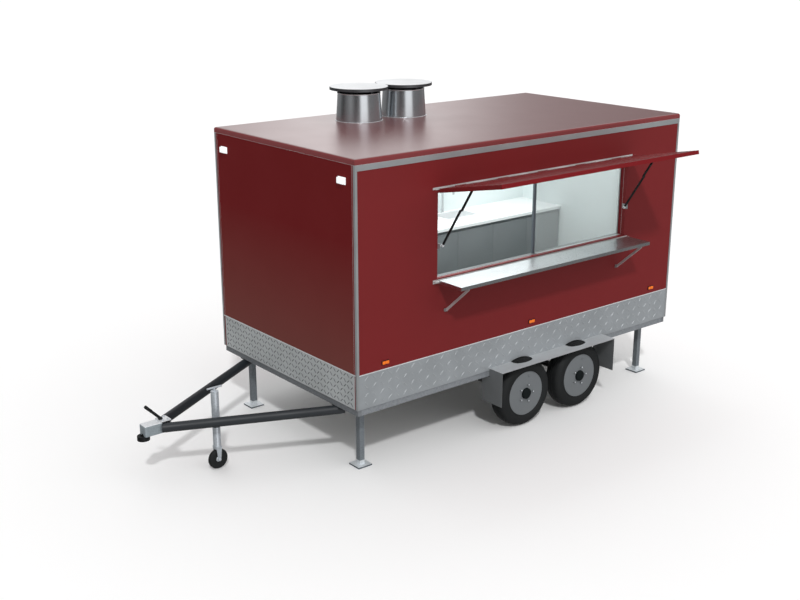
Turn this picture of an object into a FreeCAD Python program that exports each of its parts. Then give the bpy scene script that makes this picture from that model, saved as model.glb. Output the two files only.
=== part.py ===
"""Tandem-axle food concession trailer, modelled open for service and parked on its jockey wheel and steadies.

Frame: millimetres, +X towards the tow coupler, +Y towards the serving side, +Z up.
The origin is the centre of the tow-ball socket. Sizes along X are measured from the middle
of the box body and heights from the ground, and at_x and at_z carry them into the frame.
"""
import FreeCAD, Part
import Sketcher
import math
import os

SIZES = {
    # box body
    "body_length": 3944,
    "body_width": 2100,
    "roof_height": 2671,
    "roof_edge": 48,
    "roof_round": 20,
    "wall_thick": 40,
    "floor_thick": 40,
    "trim_leg": 23,
    "trim_thick": 2,
    "cant_depth": 47,
    "skirt_bottom": 601,
    "skirt_top": 905,
    "skirt_plate": 3,
    "skirt_cap": 8,
    # chassis
    "rail_depth": 56,
    "rail_wide": 40,
    "rail_inset": 12,
    "rail_wall": 4,
    "main_rail_in": 185,
    "main_rail_wide": 50,
    "cross_wide": 40,
    # drawbar and coupler
    "drawbar_reach": 1393,
    "ball_height": 408,
    "ball_bore": 25.4,
    "socket_radius": 52,
    "socket_neck": 36,
    "socket_drop": 28,
    "housing_long": 150,
    "housing_ahead": 7,
    "housing_half": 52,
    "housing_bottom": 416,
    "housing_top": 508,
    "housing_wall": 6,
    "tie_plate_behind": 233,
    "tie_plate_half": 50,
    "tie_plate_thick": 8,
    "lever_radius": 12,
    "lever_tip_behind": 32,
    "lever_rise": 151,
    "lever_root_behind": 161,
    "drawbar_tube": 80,
    "drawbar_wall": 5,
    "nose_y": 42,
    "nose_z": 456.5,
    "saddle_long": 75,
    "tail_in": 297,
    "tail_rise": -39.5,
    "saddle_half": 55,
    "saddle_thick": 8,
    # jockey wheel
    "jockey_behind": 596,
    "jockey_y": 140,
    "mast_radius": 33,
    "mast_wall": 4,
    "mast_bottom": 205,
    "mast_top": 700,
    "crank_height": 730,
    "crank_length": 138,
    "crank_radius": 8,
    "clamp_bottom": 385,
    "clamp_top": 440,
    "clamp_web_low": 450,
    "clamp_web_high": 490,
    "clamp_wall": 9,
    "jockey_tyre_radius": 88,
    "jockey_tyre_wide": 45,
    "jockey_rim_radius": 22,
    "fork_plate": 6,
    "fork_gap": 5,
    "fork_eye": 13,
    "jockey_pin": 8,
    "fork_leg_up": 220,
    # corner steadies
    "steady_set_back": 176,
    "steady_in": 201,
    "steady_tube": 50,
    "steady_wall": 3,
    "foot_side": 140,
    "foot_thick": 14,
    # axles and wheels
    "axle_mid": -238.5,
    "axle_spread": 713,
    "wheel_out": 13,
    "tyre_radius": 318,
    "tyre_wide": 184,
    "tread_wide": 96,
    "bead_radius": 194,
    "rim_radius": 202,
    "rim_wall": 6,
    "disc_out": 70,
    "hub_radius": 50,
    "hub_proud": 21,
    "stud_circle": 82.5,
    "stud_radius": 8,
    "stud_proud": 9,
    "axle_radius": 30,
    "spindle_radius": 20,
    "spindle_gap": 0.3,
    "brake_radius": 125,
    "leaf_wide": 50,
    "leaf_thick": 24,
    "leaf_half_span": 290,
    "leaf_rise": 92,
    "well_gap": 7,
    # fenders
    "fender_ahead": 733.5,
    "fender_behind": 755.5,
    "fender_reach": 171,
    "fender_rise": 305,
    "fender_plate": 3,
    "flap_drop": 328,
    "flap_in": 96,
    "flap_reach": 165,
    # serving window
    "window_mid": -57,
    "window_half": 1181,
    "window_bottom": 1572,
    "window_head": 371,
    "frame_depth": 52,
    "frame_bar": 32,
    "mullion_back": 33,
    "mullion_half": 13,
    "glass_thick": 6,
    "glass_back": 50,
    # hatch and its folding stays
    "hatch_overlap": 29,
    "hatch_hinge_overlap": 57,
    "hatch_hinge_out": 36,
    "hatch_hinge_rise": 40,
    "hatch_open_angle": 11.4,
    "hatch_start": 14,
    "hatch_foot_gap": 23,
    "hatch_skin": 8,
    "hatch_face": 5,
    "hatch_lip": 35,
    "hatch_lip_wide": 25,
    "hinge_rod": 8,
    "hinge_leaf": 3,
    "stay_inset": 45,
    "stay_pivot_out": 18,
    "stay_drop": 18,
    "stay_wide": 16,
    "stay_thick": 13,
    "stay_pin": 4,
    "pin_gap": 0.15,
    # shelf and its braces
    "shelf_overlap": 9,
    "shelf_hinge_out": 24,
    "shelf_hinge_drop": 21,
    "shelf_reach": 286,
    "shelf_thick": 30,
    "shelf_sheet": 3,
    "shelf_start": 12,
    "shelf_rod_overlap": 48,
    "brace_inset": 90.5,
    "brace_pivot_out": 13,
    "brace_pivot_drop": 290,
    "brace_seat": 264,
    "brace_wide": 20,
    "brace_thick": 10,
    # entrance door in the off side
    "door_wide": 700,
    "door_set_back": 572,
    "door_sill": 9,
    "door_head": 171,
    "door_gap": 8,
    "door_hinge_out": 14,
    "latch_rise": 620,
    "latch_long": 118,
    # galley
    "worktop_height": 1508,
    "worktop_deep": 635,
    "worktop_gap": 140,
    "worktop_thick": 30,
    "cabinet_set_back": 28,
    "sink_long": 450,
    "sink_behind": 1010,
    "sink_near_in": 450,
    "sink_far_in": 150,
    "sink_rim": 25,
    "sink_deep": 160,
    "sink_sheet": 4,
    "tap_behind": 1250,
    "tap_in": 88,
    "tap_radius": 11,
    "tap_rise": 300,
    "tap_reach": 170,
    # roof vents
    "vent_one_x": 700,
    "vent_two_x": 167,
    "vent_in": 479,
    "vent_base_radius": 215,
    "vent_top_radius": 198,
    "vent_rise": 258,
    "vent_sheet": 3,
    "vent_cap_radius": 272,
    "vent_cap_gap": 28,
    "vent_cap_thick": 26,
    # lamps
    "side_lamp_in": 292,
    "side_lamp_rise": 55,
    "side_lamp_long": 78,
    "side_lamp_tall": 36,
    "front_lamp_in": 165,
    "front_lamp_drop": 185,
    "front_lamp_wide": 95,
    "front_lamp_tall": 58,
    "front_lamp_proud": 28,
    "tail_lamp_in": 170,
    "tail_lamp_rise": 159,
    "tail_lamp_wide": 240,
    "tail_lamp_tall": 92,
    "lamp_proud": 14,
}

# sizes that follow from others, so that what belongs together moves together
DERIVED = {
    "coupler_reach": "body_length / 2 + drawbar_reach",
    "main_rail_y": "body_width / 2 - main_rail_in",
    "housing_back": "coupler_reach - housing_long",
    "housing_front": "coupler_reach + housing_ahead",
    "tie_plate_back": "coupler_reach - tie_plate_behind",
    "lever_tip_x": "coupler_reach - lever_tip_behind",
    "lever_tip_z": "housing_top + lever_rise",
    "lever_root_x": "coupler_reach - lever_root_behind",
    "tail_x": "body_length / 2 - rail_inset - saddle_long",
    "tail_y": "body_width / 2 - tail_in",
    "tail_z": "skirt_bottom - rail_depth + tail_rise",
    "jockey_x": "coupler_reach - jockey_behind",
    "steady_x": "body_length / 2 - steady_set_back",
    "steady_y": "body_width / 2 - steady_in",
    "wheel_y": "body_width / 2 + wheel_out",
    "fender_front": "axle_mid + fender_ahead",
    "fender_back": "axle_mid - fender_behind",
    "fender_out": "body_width / 2 + fender_reach",
    "fender_top": "tyre_radius + fender_rise",
    "flap_bottom": "fender_top - flap_drop",
    "flap_inner": "body_width / 2 - flap_in",
    "flap_out": "body_width / 2 + flap_reach",
    "window_top": "roof_height - window_head",
    "mullion_x": "window_mid - mullion_back",
    "hatch_half": "window_half + hatch_overlap",
    "hinge_half": "window_half + hatch_hinge_overlap",
    "hatch_hinge_y": "body_width / 2 + hatch_hinge_out",
    "hatch_hinge_z": "window_top + hatch_hinge_rise",
    "hatch_reach": "hatch_hinge_z - window_bottom - hatch_foot_gap",
    "stay_half": "window_half - stay_inset",
    "stay_pivot_y": "body_width / 2 + stay_pivot_out",
    "stay_pivot_z": "hatch_hinge_z - hatch_reach * 0.651007",
    "stay_seat": "hatch_reach * 0.440268",
    "shelf_half": "window_half + shelf_overlap",
    "shelf_hinge_y": "body_width / 2 + shelf_hinge_out",
    "shelf_hinge_z": "window_bottom - shelf_hinge_drop",
    "shelf_rod_half": "window_half + shelf_rod_overlap",
    "brace_half": "window_half - brace_inset",
    "brace_pivot_y": "body_width / 2 + brace_pivot_out",
    "brace_pivot_z": "window_bottom - brace_pivot_drop",
    "door_front": "body_length / 2 - door_set_back",
    "door_back": "door_front - door_wide",
    "door_bottom": "skirt_bottom + floor_thick + door_sill",
    "door_top": "roof_height - door_head",
    "worktop_front": "body_width / 2 - worktop_deep",
    "worktop_end": "door_back - worktop_gap",
    "sink_front_x": "worktop_end - sink_behind",
    "sink_back_x": "sink_front_x - sink_long",
    "sink_near_y": "body_width / 2 - sink_near_in",
    "sink_far_y": "body_width / 2 - sink_far_in",
    "tap_x": "worktop_end - tap_behind",
    "tap_y": "body_width / 2 - tap_in",
    "vent_y": "vent_in - body_width / 2",
    "side_lamp_end": "body_length / 2 - side_lamp_in",
    "side_lamp_height": "skirt_top + side_lamp_rise",
    "front_lamp_y": "body_width / 2 - front_lamp_in",
    "front_lamp_height": "roof_height - front_lamp_drop",
    "tail_lamp_y": "body_width / 2 - tail_lamp_in",
    "tail_lamp_height": "skirt_bottom + tail_lamp_rise",
}

doc = FreeCAD.newDocument("concession_trailer")
sheet = doc.addObject("Spreadsheet::Sheet", "Sizes")
for row, (alias, entry) in enumerate((SIZES | DERIVED).items(), start=1):
    sheet.set(f"A{row}", alias)
    sheet.set(f"B{row}", f"={entry}")
    sheet.setAlias(f"B{row}", alias)
doc.recompute()


class Size:
    """A length with the spreadsheet expression that gives it."""

    def __init__(self, value, text):
        self.value = float(value)
        self.text = text

    def _join(self, other, sign, value, swap=False):
        other_text = other.text if isinstance(other, Size) else repr(other)
        first, second = (other_text, self.text) if swap else (self.text, other_text)
        return Size(value, f"({first} {sign} {second})")

    def __add__(self, other):
        return self._join(other, "+", self.value + number(other))

    def __radd__(self, other):
        return self._join(other, "+", number(other) + self.value, swap=True)

    def __sub__(self, other):
        return self._join(other, "-", self.value - number(other))

    def __rsub__(self, other):
        return self._join(other, "-", number(other) - self.value, swap=True)

    def __mul__(self, other):
        return self._join(other, "*", self.value * number(other))

    def __rmul__(self, other):
        return self._join(other, "*", number(other) * self.value, swap=True)

    def __truediv__(self, other):
        return self._join(other, "/", self.value / number(other))

    def __neg__(self):
        return Size(-self.value, f"(0 - {self.text})")


def number(value):
    return value.value if isinstance(value, Size) else float(value)


def root(square):
    return Size(math.sqrt(square.value), f"sqrt({square.text})")


def sine(degrees):
    return Size(math.sin(math.radians(degrees.value)), f"sin({degrees.text} * 1 deg)")


def cosine(degrees):
    return Size(math.cos(math.radians(degrees.value)), f"cos({degrees.text} * 1 deg)")


def size(alias):
    return Size(sheet.get(alias), f"Sizes.{alias}")


def bind(thing, prop, value):
    """Ties a property to the sheet, or sets it where the value is a plain number."""
    text = value.text if isinstance(value, Size) else repr(float(value))
    thing.setExpression(prop, text)


def at_x(value):
    """A distance forward of the middle of the body, in the frame."""
    return value - size("coupler_reach")


def at_z(value):
    """A height above the ground, in the frame."""
    return value - size("ball_height")


def place(thing, x=0, y=0, z=0):
    bind(thing, "Placement.Base.x", x)
    bind(thing, "Placement.Base.y", y)
    bind(thing, "Placement.Base.z", z)
    return thing


def box(name, x, y, z):
    """A block between two limits on each axis."""
    thing = doc.addObject("Part::Box", name)
    for prop, (low, high) in (("Length", x), ("Width", y), ("Height", z)):
        bind(thing, prop, high - low)
    return place(thing, x[0], y[0], z[0])


TURN_TO = {
    "X": FreeCAD.Rotation(FreeCAD.Vector(0, 1, 0), 90),
    "Y": FreeCAD.Rotation(FreeCAD.Vector(1, 0, 0), -90),
    "Z": FreeCAD.Rotation(),
}


def spot(axis, along, across):
    """The point at one place along an axis and two places across it, in X, Y, Z order."""
    across = list(across)
    across.insert("XYZ".index(axis), along)
    return across


def cylinder(name, radius, axis, span, across):
    thing = doc.addObject("Part::Cylinder", name)
    bind(thing, "Radius", radius)
    bind(thing, "Height", span[1] - span[0])
    thing.Placement.Rotation = TURN_TO[axis]
    return place(thing, *spot(axis, span[0], across))


def sphere(name, radius, x, y, z):
    thing = doc.addObject("Part::Sphere", name)
    bind(thing, "Radius", radius)
    return place(thing, x, y, z)


def cone(name, low_radius, high_radius, span, x, y):
    thing = doc.addObject("Part::Cone", name)
    bind(thing, "Radius1", low_radius)
    bind(thing, "Radius2", high_radius)
    bind(thing, "Height", span[1] - span[0])
    return place(thing, x, y, span[0])


def rod(name, radius, start, end):
    """A cylinder from one point to another, turned by expressions."""
    reach = [b - a for a, b in zip(start, end)]
    flat = root(reach[0] * reach[0] + reach[1] * reach[1])
    length = root(flat * flat + reach[2] * reach[2])
    thing = doc.addObject("Part::Cylinder", name)
    bind(thing, "Radius", radius)
    bind(thing, "Height", length)
    bind(thing, "Placement.Rotation.Axis.x", -reach[1] / flat)
    bind(thing, "Placement.Rotation.Axis.y", reach[0] / flat)
    bind(thing, "Placement.Rotation.Axis.z", 0)
    lean = Size(math.degrees(math.acos(reach[2].value / length.value)),
                f"acos({reach[2].text} / {length.text})")
    bind(thing, "Placement.Rotation.Angle", lean)
    return place(thing, *start)


def cut(name, base, tools):
    thing = doc.addObject("Part::Cut", name)
    thing.Base = base
    thing.Tool = tools[0] if len(tools) == 1 else join(name + "_tools", tools)
    return thing


def join(name, parts):
    thing = doc.addObject("Part::MultiFuse", name)
    thing.Shapes = parts
    thing.Refine = True
    return thing


def group(name, parts):
    """Like pieces that do not touch, kept as separate solids of one sub-part."""
    thing = doc.addObject("Part::Compound", name)
    thing.Links = parts
    return thing


def hollow_box(name, x, y, z, wall, along):
    """A square tube: a block with a bore left open at both ends of one axis."""
    inner = [(low + wall, high - wall) for low, high in (x, y, z)]
    inner["XYZ".index(along)] = (x, y, z)["XYZ".index(along)]
    return cut(name, box(name + "_outer", x, y, z), [box(name + "_bore", *inner)])


def outline(body, name, plane, points):
    """A closed sketch of straight edges whose corners are bound to the sheet."""
    sketch = body.newObject("Sketcher::SketchObject", name)
    origin = [feature for feature in body.Origin.OriginFeatures if feature.Role == plane][0]
    sketch.AttachmentSupport = [(origin, "")]
    sketch.MapMode = "FlatFace"
    corners = [FreeCAD.Vector(number(u), number(v), 0) for u, v in points]
    for first, second in zip(corners, corners[1:] + corners[:1]):
        sketch.addGeometry(Part.LineSegment(first, second), False)
    count = len(points)
    for index in range(count):
        sketch.addConstraint(Sketcher.Constraint("Coincident", index, 2, (index + 1) % count, 1))
    for index, (u, v) in enumerate(points):
        for kind, value in (("DistanceX", u), ("DistanceY", v)):
            number_of = sketch.addConstraint(Sketcher.Constraint(kind, -1, 1, index, 1, number(value)))
            bind(sketch, f"Constraints[{number_of}]", value)
    return sketch


def pad(name, plane, points, length, reverse=False):
    """A sketched outline pushed out from one of the body's own planes."""
    body = doc.addObject("PartDesign::Body", name)
    sketch = outline(body, name + "_outline", plane, points)
    feature = body.newObject("PartDesign::Pad", name + "_pad")
    feature.Profile = sketch
    feature.Reversed = reverse
    bind(feature, "Length", length)
    return body


def revolve(name, plane, points, axis="H_Axis"):
    """A sketched section turned once about an axis of its sketch."""
    body = doc.addObject("PartDesign::Body", name)
    sketch = outline(body, name + "_section", plane, points)
    feature = body.newObject("PartDesign::Revolution", name + "_turn")
    feature.Profile = sketch
    feature.ReferenceAxis = (sketch, [axis])
    feature.Angle = 360
    return body


sub_parts = []


def keep(label, thing):
    """Names a finished sub-part after its node."""
    thing.Label = label
    sub_parts.append(thing)
    return thing


half_length = size("body_length") / 2
half_width = size("body_width") / 2
trim = size("trim_thick")
wall = size("wall_thick")
wall_x = half_length - trim
wall_y = half_width - trim
inner_x = wall_x - wall
inner_y = wall_y - wall
skirt_bottom = size("skirt_bottom")
skirt_top = size("skirt_top")
roof_under = size("roof_height") - size("roof_edge")
floor_top = skirt_bottom + size("floor_thick")
rail_bottom = skirt_bottom - size("rail_depth")
axle_height = size("tyre_radius")
axle_places = {
    "front": size("axle_mid") + size("axle_spread") / 2,
    "rear": size("axle_mid") - size("axle_spread") / 2,
}
window_x = (size("window_mid") - size("window_half"), size("window_mid") + size("window_half"))
SIDES = {"left": 1, "right": -1}


def across(side, low, high):
    """A span on one side of the body: its limits swap on the right."""
    return (low, high) if side > 0 else (-high, -low)


def wheel_wells(name):
    """The room round all four tyres, with rounded shoulders, as cutting tools."""
    gap = size("well_gap")
    reach = size("tyre_wide") / 2 + gap
    radius = size("tyre_radius") + gap
    flat = size("tread_wide") / 2
    nothing = Size(0, "0")
    half_section = [(radius, flat * 0.4 + gap), (radius - 5, flat + gap), (radius - 26, reach * 0.89),
                    (radius - 62, reach)]
    section = [(nothing, -reach)] + [(u, -v) for u, v in reversed(half_section)] + half_section
    section.append((nothing, reach))
    tools = []
    for axle, x in axle_places.items():
        for side_name, side in SIDES.items():
            well = revolve(f"{name}_{axle}_{side_name}", "XY_Plane", section, "V_Axis")
            tools.append(place(well, at_x(x), side * size("wheel_y"), at_z(axle_height)))
    return tools


def chassis():
    """Two main rails, perimeter side rails broken by the wheels, and the members across them."""
    outer_x = half_length - size("rail_inset")
    outer_y = half_width - size("rail_inset")
    wide = size("rail_wide")
    tube = size("rail_wall")
    z = (at_z(rail_bottom), at_z(skirt_bottom))
    inside_x = (at_x(wide - outer_x), at_x(outer_x - wide))
    half = size("main_rail_wide") / 2
    mains = []
    sides = []
    ties = []
    for side_name, side in SIDES.items():
        middle = side * size("main_rail_y")
        mains.append(hollow_box(f"main_rail_{side_name}", inside_x, (middle - half, middle + half), z, tube, "X"))
        side_y = across(side, outer_y - wide, outer_y)
        rail = hollow_box(f"side_rail_{side_name}", inside_x, side_y, z, tube, "X")
        sides.append(cut(f"side_rail_cut_{side_name}", rail, wheel_wells(f"rail_well_{side_name}")))
        tie_y = across(side, size("main_rail_y") + half, outer_y - wide)
        for index, x in enumerate((size("axle_mid"), outer_x * 0.5, -outer_x * 0.72)):
            ties.append(box(f"outrigger_{side_name}_{index}", (at_x(x - 20), at_x(x + 20)), tie_y, z))
    for end_name, end in (("front", 1), ("rear", -1)):
        x = (at_x(outer_x - wide), at_x(outer_x)) if end > 0 else (at_x(-outer_x), at_x(wide - outer_x))
        ties.append(box(f"end_rail_{end_name}", x, (-outer_y, outer_y), z))
    inside = size("main_rail_y") - half
    for index in range(5):
        middle = (index - 2) * (outer_x * 2 - wide * 2) / 6
        reach = size("cross_wide") / 2
        ties.append(box(f"cross_member_{index}", (at_x(middle - reach), at_x(middle + reach)),
                        (-inside, inside), z))
    keep("main_rails", group("main_rails", mains))
    keep("side_rails", group("side_rails", sides))
    keep("cross_members", group("cross_members", ties))


def drawbar():
    """Two round tubes that meet at the coupler, their saddles and the jockey wheel's clamp."""
    radius = size("drawbar_tube") / 2
    pieces = []
    for side_name, side in SIDES.items():
        nose = (at_x(size("housing_back")), side * size("nose_y"), at_z(size("nose_z")))
        tail = (at_x(size("tail_x")), side * size("tail_y"), at_z(size("tail_z")))
        outer = rod(f"drawbar_tube_{side_name}", radius, nose, tail)
        bore = rod(f"drawbar_bore_{side_name}", radius - size("drawbar_wall"), nose, tail)
        pieces.append(cut(f"drawbar_arm_{side_name}", outer, [bore]))
        saddle = size("saddle_half")
        middle = side * (size("tail_y") - saddle / 2)
        pieces.append(box(f"saddle_{side_name}",
                          (at_x(size("tail_x")), at_x(half_length - size("rail_inset"))),
                          (middle - saddle, middle + saddle),
                          (at_z(rail_bottom - size("saddle_thick")), at_z(rail_bottom))))
    x = at_x(size("jockey_x"))
    y = size("jockey_y")
    z = (at_z(size("clamp_bottom")), at_z(size("clamp_top")))
    ring = size("mast_radius") + size("clamp_wall")
    share = (size("housing_back") - size("jockey_x")) / (size("housing_back") - size("tail_x"))
    arm_y = size("nose_y") + share * (size("tail_y") - size("nose_y"))
    half = size("mast_radius")
    web = pad("clamp_web", "YZ_Plane", [(y, z[0]), (arm_y, at_z(size("clamp_web_low"))),
                                        (arm_y, at_z(size("clamp_web_high"))), (y, z[1])], half * 2)
    place(web, x - half, 0, 0)
    pieces.append(join("clamp", [cylinder("clamp_ring", ring, "Z", z, (x, y)), web]))
    web_x = size("tie_plate_back")
    web_y = size("nose_y") + (size("housing_back") - web_x) / (size("housing_back") - size("tail_x")) * (
        size("tail_y") - size("nose_y"))
    pieces.append(box("nose_web", (at_x(web_x - 4), at_x(web_x + 4)), (-web_y, web_y),
                      (at_z(size("nose_z") - 30), at_z(size("nose_z") + 30))))
    body = join("drawbar_body", pieces)
    mast_hole = cylinder("clamp_bore", size("mast_radius") + size("pin_gap"), "Z",
                         (z[0], at_z(size("clamp_web_high"))), (x, y))
    clears = [rod(f"drawbar_clear_{side_name}", radius - size("drawbar_wall"),
                  (at_x(size("housing_back")), side * size("nose_y"), at_z(size("nose_z"))),
                  (at_x(size("tail_x")), side * size("tail_y"), at_z(size("tail_z"))))
              for side_name, side in SIDES.items()]
    clears.append(box("drawbar_nose_clear", (at_x(size("housing_back")), at_x(size("housing_front"))),
                      (-size("housing_half"), size("housing_half")),
                      (at_z(size("housing_bottom")), at_z(size("housing_top")))))
    keep("drawbar", cut("drawbar", body, [mast_hole] + clears))


def coupler():
    """Pressed housing, the ball socket under its nose and the hand lever on top."""
    half = size("housing_half")
    sheet_wall = size("housing_wall")
    x = (at_x(size("housing_back")), at_x(size("housing_front")))
    z = (at_z(size("housing_bottom")), at_z(size("housing_top")))
    outer = box("housing_outer", x, (-half, half), z)
    rounded = doc.addObject("Part::Fillet", "housing_rounded")
    rounded.Base = outer
    # edges of a box 2, 6, 10 and 12 bound its top, and 5 and 7 are the front uprights
    rounded.Edges = [(edge, 12.0, 12.0) for edge in (2, 5, 6, 7, 10, 12)]
    inner = box("housing_inner", (x[0], x[1] - sheet_wall), (sheet_wall - half, half - sheet_wall),
                (z[0], z[1] - sheet_wall))
    shell = cut("housing_shell", rounded, [inner])
    tie_z = (at_z(size("housing_top")), at_z(size("housing_top") + size("tie_plate_thick")))
    tie = box("tie_plate", (at_x(size("tie_plate_back")), at_x(size("housing_back")) + 2 * sheet_wall),
              (-size("tie_plate_half"), size("tie_plate_half")), tie_z)
    ball_clear = sphere("housing_ball_clear", size("ball_bore") + 1, 0, 0, 0)
    keep("coupler_housing", cut("coupler_housing", join("housing_and_tie", [shell, tie]), [ball_clear]))

    low = -size("socket_drop")
    shoulder = at_z(size("housing_bottom")) - 0.3
    top = at_z(size("housing_top")) - sheet_wall - 0.3
    cup = cylinder("socket_cup", size("socket_radius"), "Z", (low, shoulder), (0, 0))
    neck = cylinder("socket_neck_post", size("socket_neck"), "Z", (shoulder, top), (0, 0))
    bore = cylinder("socket_bore", size("ball_bore"), "Z", (low, Size(0, "0")), (0, 0))
    crown = sphere("socket_crown", size("ball_bore"), 0, 0, 0)
    front_clear = box("socket_clear", (x[1] - sheet_wall - 0.3, x[1] + size("socket_neck") + 10),
                      (-half, half), (shoulder, top))
    keep("coupler_socket", cut("coupler_socket", join("socket_body", [cup, neck]), [bore, crown, front_clear]))

    seat = at_z(size("housing_top") + size("tie_plate_thick"))
    root_x = at_x(size("lever_root_x"))
    lug = box("lever_lug", (root_x - 14, root_x + 16), (-12, Size(12, "12")), (seat, seat + 17))
    handle = rod("lever_rod", size("lever_radius"), (root_x, Size(0, "0"), seat + 10),
                 (at_x(size("lever_tip_x")), Size(0, "0"), at_z(size("lever_tip_z"))))
    keep("coupler_lever", join("coupler_lever", [lug, handle]))


def jockey():
    """Telescopic mast held in the drawbar's clamp, its crank, the swivelling fork and the wheel."""
    x = at_x(size("jockey_x"))
    y = size("jockey_y")
    radius = size("mast_radius")
    bottom = at_z(size("mast_bottom"))
    top = at_z(size("mast_top"))
    bore = radius - size("mast_wall")
    tube = cylinder("mast_tube", radius, "Z", (bottom, top), (x, y))
    hole = cylinder("mast_bore", bore, "Z", (bottom, top - 10), (x, y))
    post = cylinder("crank_post", size("crank_radius"), "Z", (top - 10, at_z(size("crank_height"))), (x, y))
    bar = cylinder("crank_bar", size("crank_radius"), "X",
                   (x - size("crank_length") / 2, x + size("crank_length") / 2),
                   (y, at_z(size("crank_height"))))
    keep("jockey_mast", join("jockey_mast", [cut("mast_shell", tube, [hole]), post, bar]))

    tyre_top = size("jockey_tyre_radius") * 2
    crown = (at_z(tyre_top + size("fork_gap")), bottom - 0.3)
    leg = cylinder("fork_leg", bore - 0.3, "Z", (crown[0], bottom + size("fork_leg_up")), (x, y))
    half = size("jockey_tyre_wide") / 2 + size("fork_gap")
    plate = size("fork_plate")
    width = radius * 0.8
    head = box("fork_head", (x - width, x + width), (y - half - plate, y + half + plate),
               (crown[0], crown[1]))
    axle_z = at_z(size("jockey_tyre_radius"))
    eye = size("fork_eye")
    cheeks = []
    for side in (-1, 1):
        inner = y + side * half
        outer = inner + side * plate
        span = (inner, outer) if side > 0 else (outer, inner)
        cheek = pad(f"fork_cheek_{side + 1}", "XZ_Plane",
                    [(x - eye, axle_z), (x + eye, axle_z), (x + width, crown[1]), (x - width, crown[1])], plate)
        cheeks.append(place(cheek, 0, span[1], 0))
        cheeks.append(cylinder(f"fork_eye_{side + 1}", eye, "Y", span, (x, axle_z)))
    pin = cylinder("fork_pin", size("jockey_pin"), "Y", (y - half - plate, y + half + plate), (x, axle_z))
    keep("jockey_fork", join("jockey_fork", [leg, head, pin] + cheeks))

    tyre_half = size("jockey_tyre_wide") / 2
    outer = size("jockey_tyre_radius")
    rim = size("jockey_rim_radius")
    hole = size("jockey_pin") + size("pin_gap")
    section = [(hole, -tyre_half), (rim * 0.45, -tyre_half), (rim * 0.6, -tyre_half * 0.5),
               (rim, -tyre_half * 0.5), (rim * 1.1, -tyre_half), (outer - 12, -tyre_half),
               (outer, -tyre_half * 0.45), (outer, tyre_half * 0.45), (outer - 12, tyre_half),
               (rim * 1.1, tyre_half), (rim, tyre_half * 0.5), (rim * 0.6, tyre_half * 0.5),
               (rim * 0.45, tyre_half), (hole, tyre_half)]
    wheel = revolve("jockey_wheel", "XY_Plane", section, axis="V_Axis")
    place(wheel, x, y, axle_z)
    keep("jockey_wheel", wheel)


def steadies():
    """Four square legs under the main rails, each on a foot plate, with a crank stub."""
    legs = []
    half = size("steady_tube") / 2
    foot = size("foot_side") / 2
    ground = at_z(Size(0, "0"))
    foot_top = ground + size("foot_thick")
    top = at_z(rail_bottom)
    for end_name, end in (("front", 1), ("rear", -1)):
        for side_name, side in SIDES.items():
            name = f"steady_{end_name}_{side_name}"
            x = at_x(end * size("steady_x"))
            y = side * size("steady_y")
            leg = hollow_box(name + "_leg", (x - half, x + half), (y - half, y + half), (foot_top, top),
                             size("steady_wall"), "Z")
            plate = box(name + "_foot", (x - foot, x + foot), (y - foot, y + foot), (ground, foot_top))
            stub_y = (half, half + 34)
            stub = cylinder(name + "_stub", Size(9, "9"), "Y",
                            across(side, size("steady_y") + stub_y[0], size("steady_y") + stub_y[1]),
                            (x, top - 60))
            legs.append(join(name, [leg, plate, stub]))
    keep("steadies", group("steadies", legs))


def leaf_spring(name, y, front, back):
    """A shallow arched leaf pack between two hangers, resting on its axle's tube."""
    wide = size("leaf_wide") / 2
    thick = size("leaf_thick")
    middle = (front + back) / 2
    seat = at_z(axle_height + size("axle_radius"))
    eye = seat + size("leaf_rise")
    points = []
    steps = 8
    for index in range(steps + 1):
        share = index / steps * 2 - 1
        points.append((middle + share * (front - back) / 2, seat + share * share * size("leaf_rise")))
    upper = [(u, v + thick) for u, v in reversed(points)]
    body = pad(name, "XZ_Plane", [(at_x(u), v) for u, v in points + upper], wide * 2)
    place(body, 0, y + wide, 0)
    eyes = [cylinder(f"{name}_eye_{index}", thick * 0.9, "Y", (y - wide, y + wide), (at_x(u), eye + thick / 2))
            for index, u in enumerate((front, back))]
    return join(name + "_pack", [body] + eyes)


def running_gear():
    """Two beam axles with brake drums, and a tandem spring set with an equaliser each side."""
    spread = size("axle_spread")
    for axle, x in axle_places.items():
        centre = (at_x(x), at_z(axle_height))
        inner_face = size("wheel_y") - size("tyre_wide") / 2 + size("well_gap")
        beam = cylinder(f"axle_beam_{axle}", size("axle_radius"), "Y", (-inner_face, inner_face), centre)
        spindle_end = size("wheel_y") + size("disc_out") - 4
        spindle = cylinder(f"spindle_{axle}", size("spindle_radius"), "Y", (-spindle_end, spindle_end), centre)
        plates = [cylinder(f"brake_{axle}_{name}", size("brake_radius"), "Y",
                           across(side, inner_face - 6, inner_face + 40), centre)
                  for name, side in SIDES.items()]
        keep(f"axle_{axle}", join(f"axle_{axle}", [beam, spindle] + plates))
    sets = []
    span = size("leaf_half_span")
    middle = size("axle_mid")
    seat = at_z(axle_height + size("axle_radius"))
    eye_z = seat + size("leaf_rise") + size("leaf_thick") / 2
    for side_name, side in SIDES.items():
        y = side * size("main_rail_y")
        pieces = []
        for axle, x in axle_places.items():
            pieces.append(leaf_spring(f"leaf_{axle}_{side_name}", y, x + span, x - span))
        half = size("leaf_wide") / 2 + 6
        hangers = (middle + spread / 2 + span, middle - spread / 2 - span, middle)
        for index, x in enumerate(hangers):
            width = spread / 2 - span + 24 if index == 2 else Size(24, "24")
            pieces.append(box(f"hanger_{side_name}_{index}", (at_x(x - width), at_x(x + width)),
                              (y - half, y + half), (eye_z - 26, at_z(rail_bottom))))
        sets.append(join(f"spring_set_{side_name}", pieces))
    keep("leaf_springs", group("leaf_springs", sets))


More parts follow.
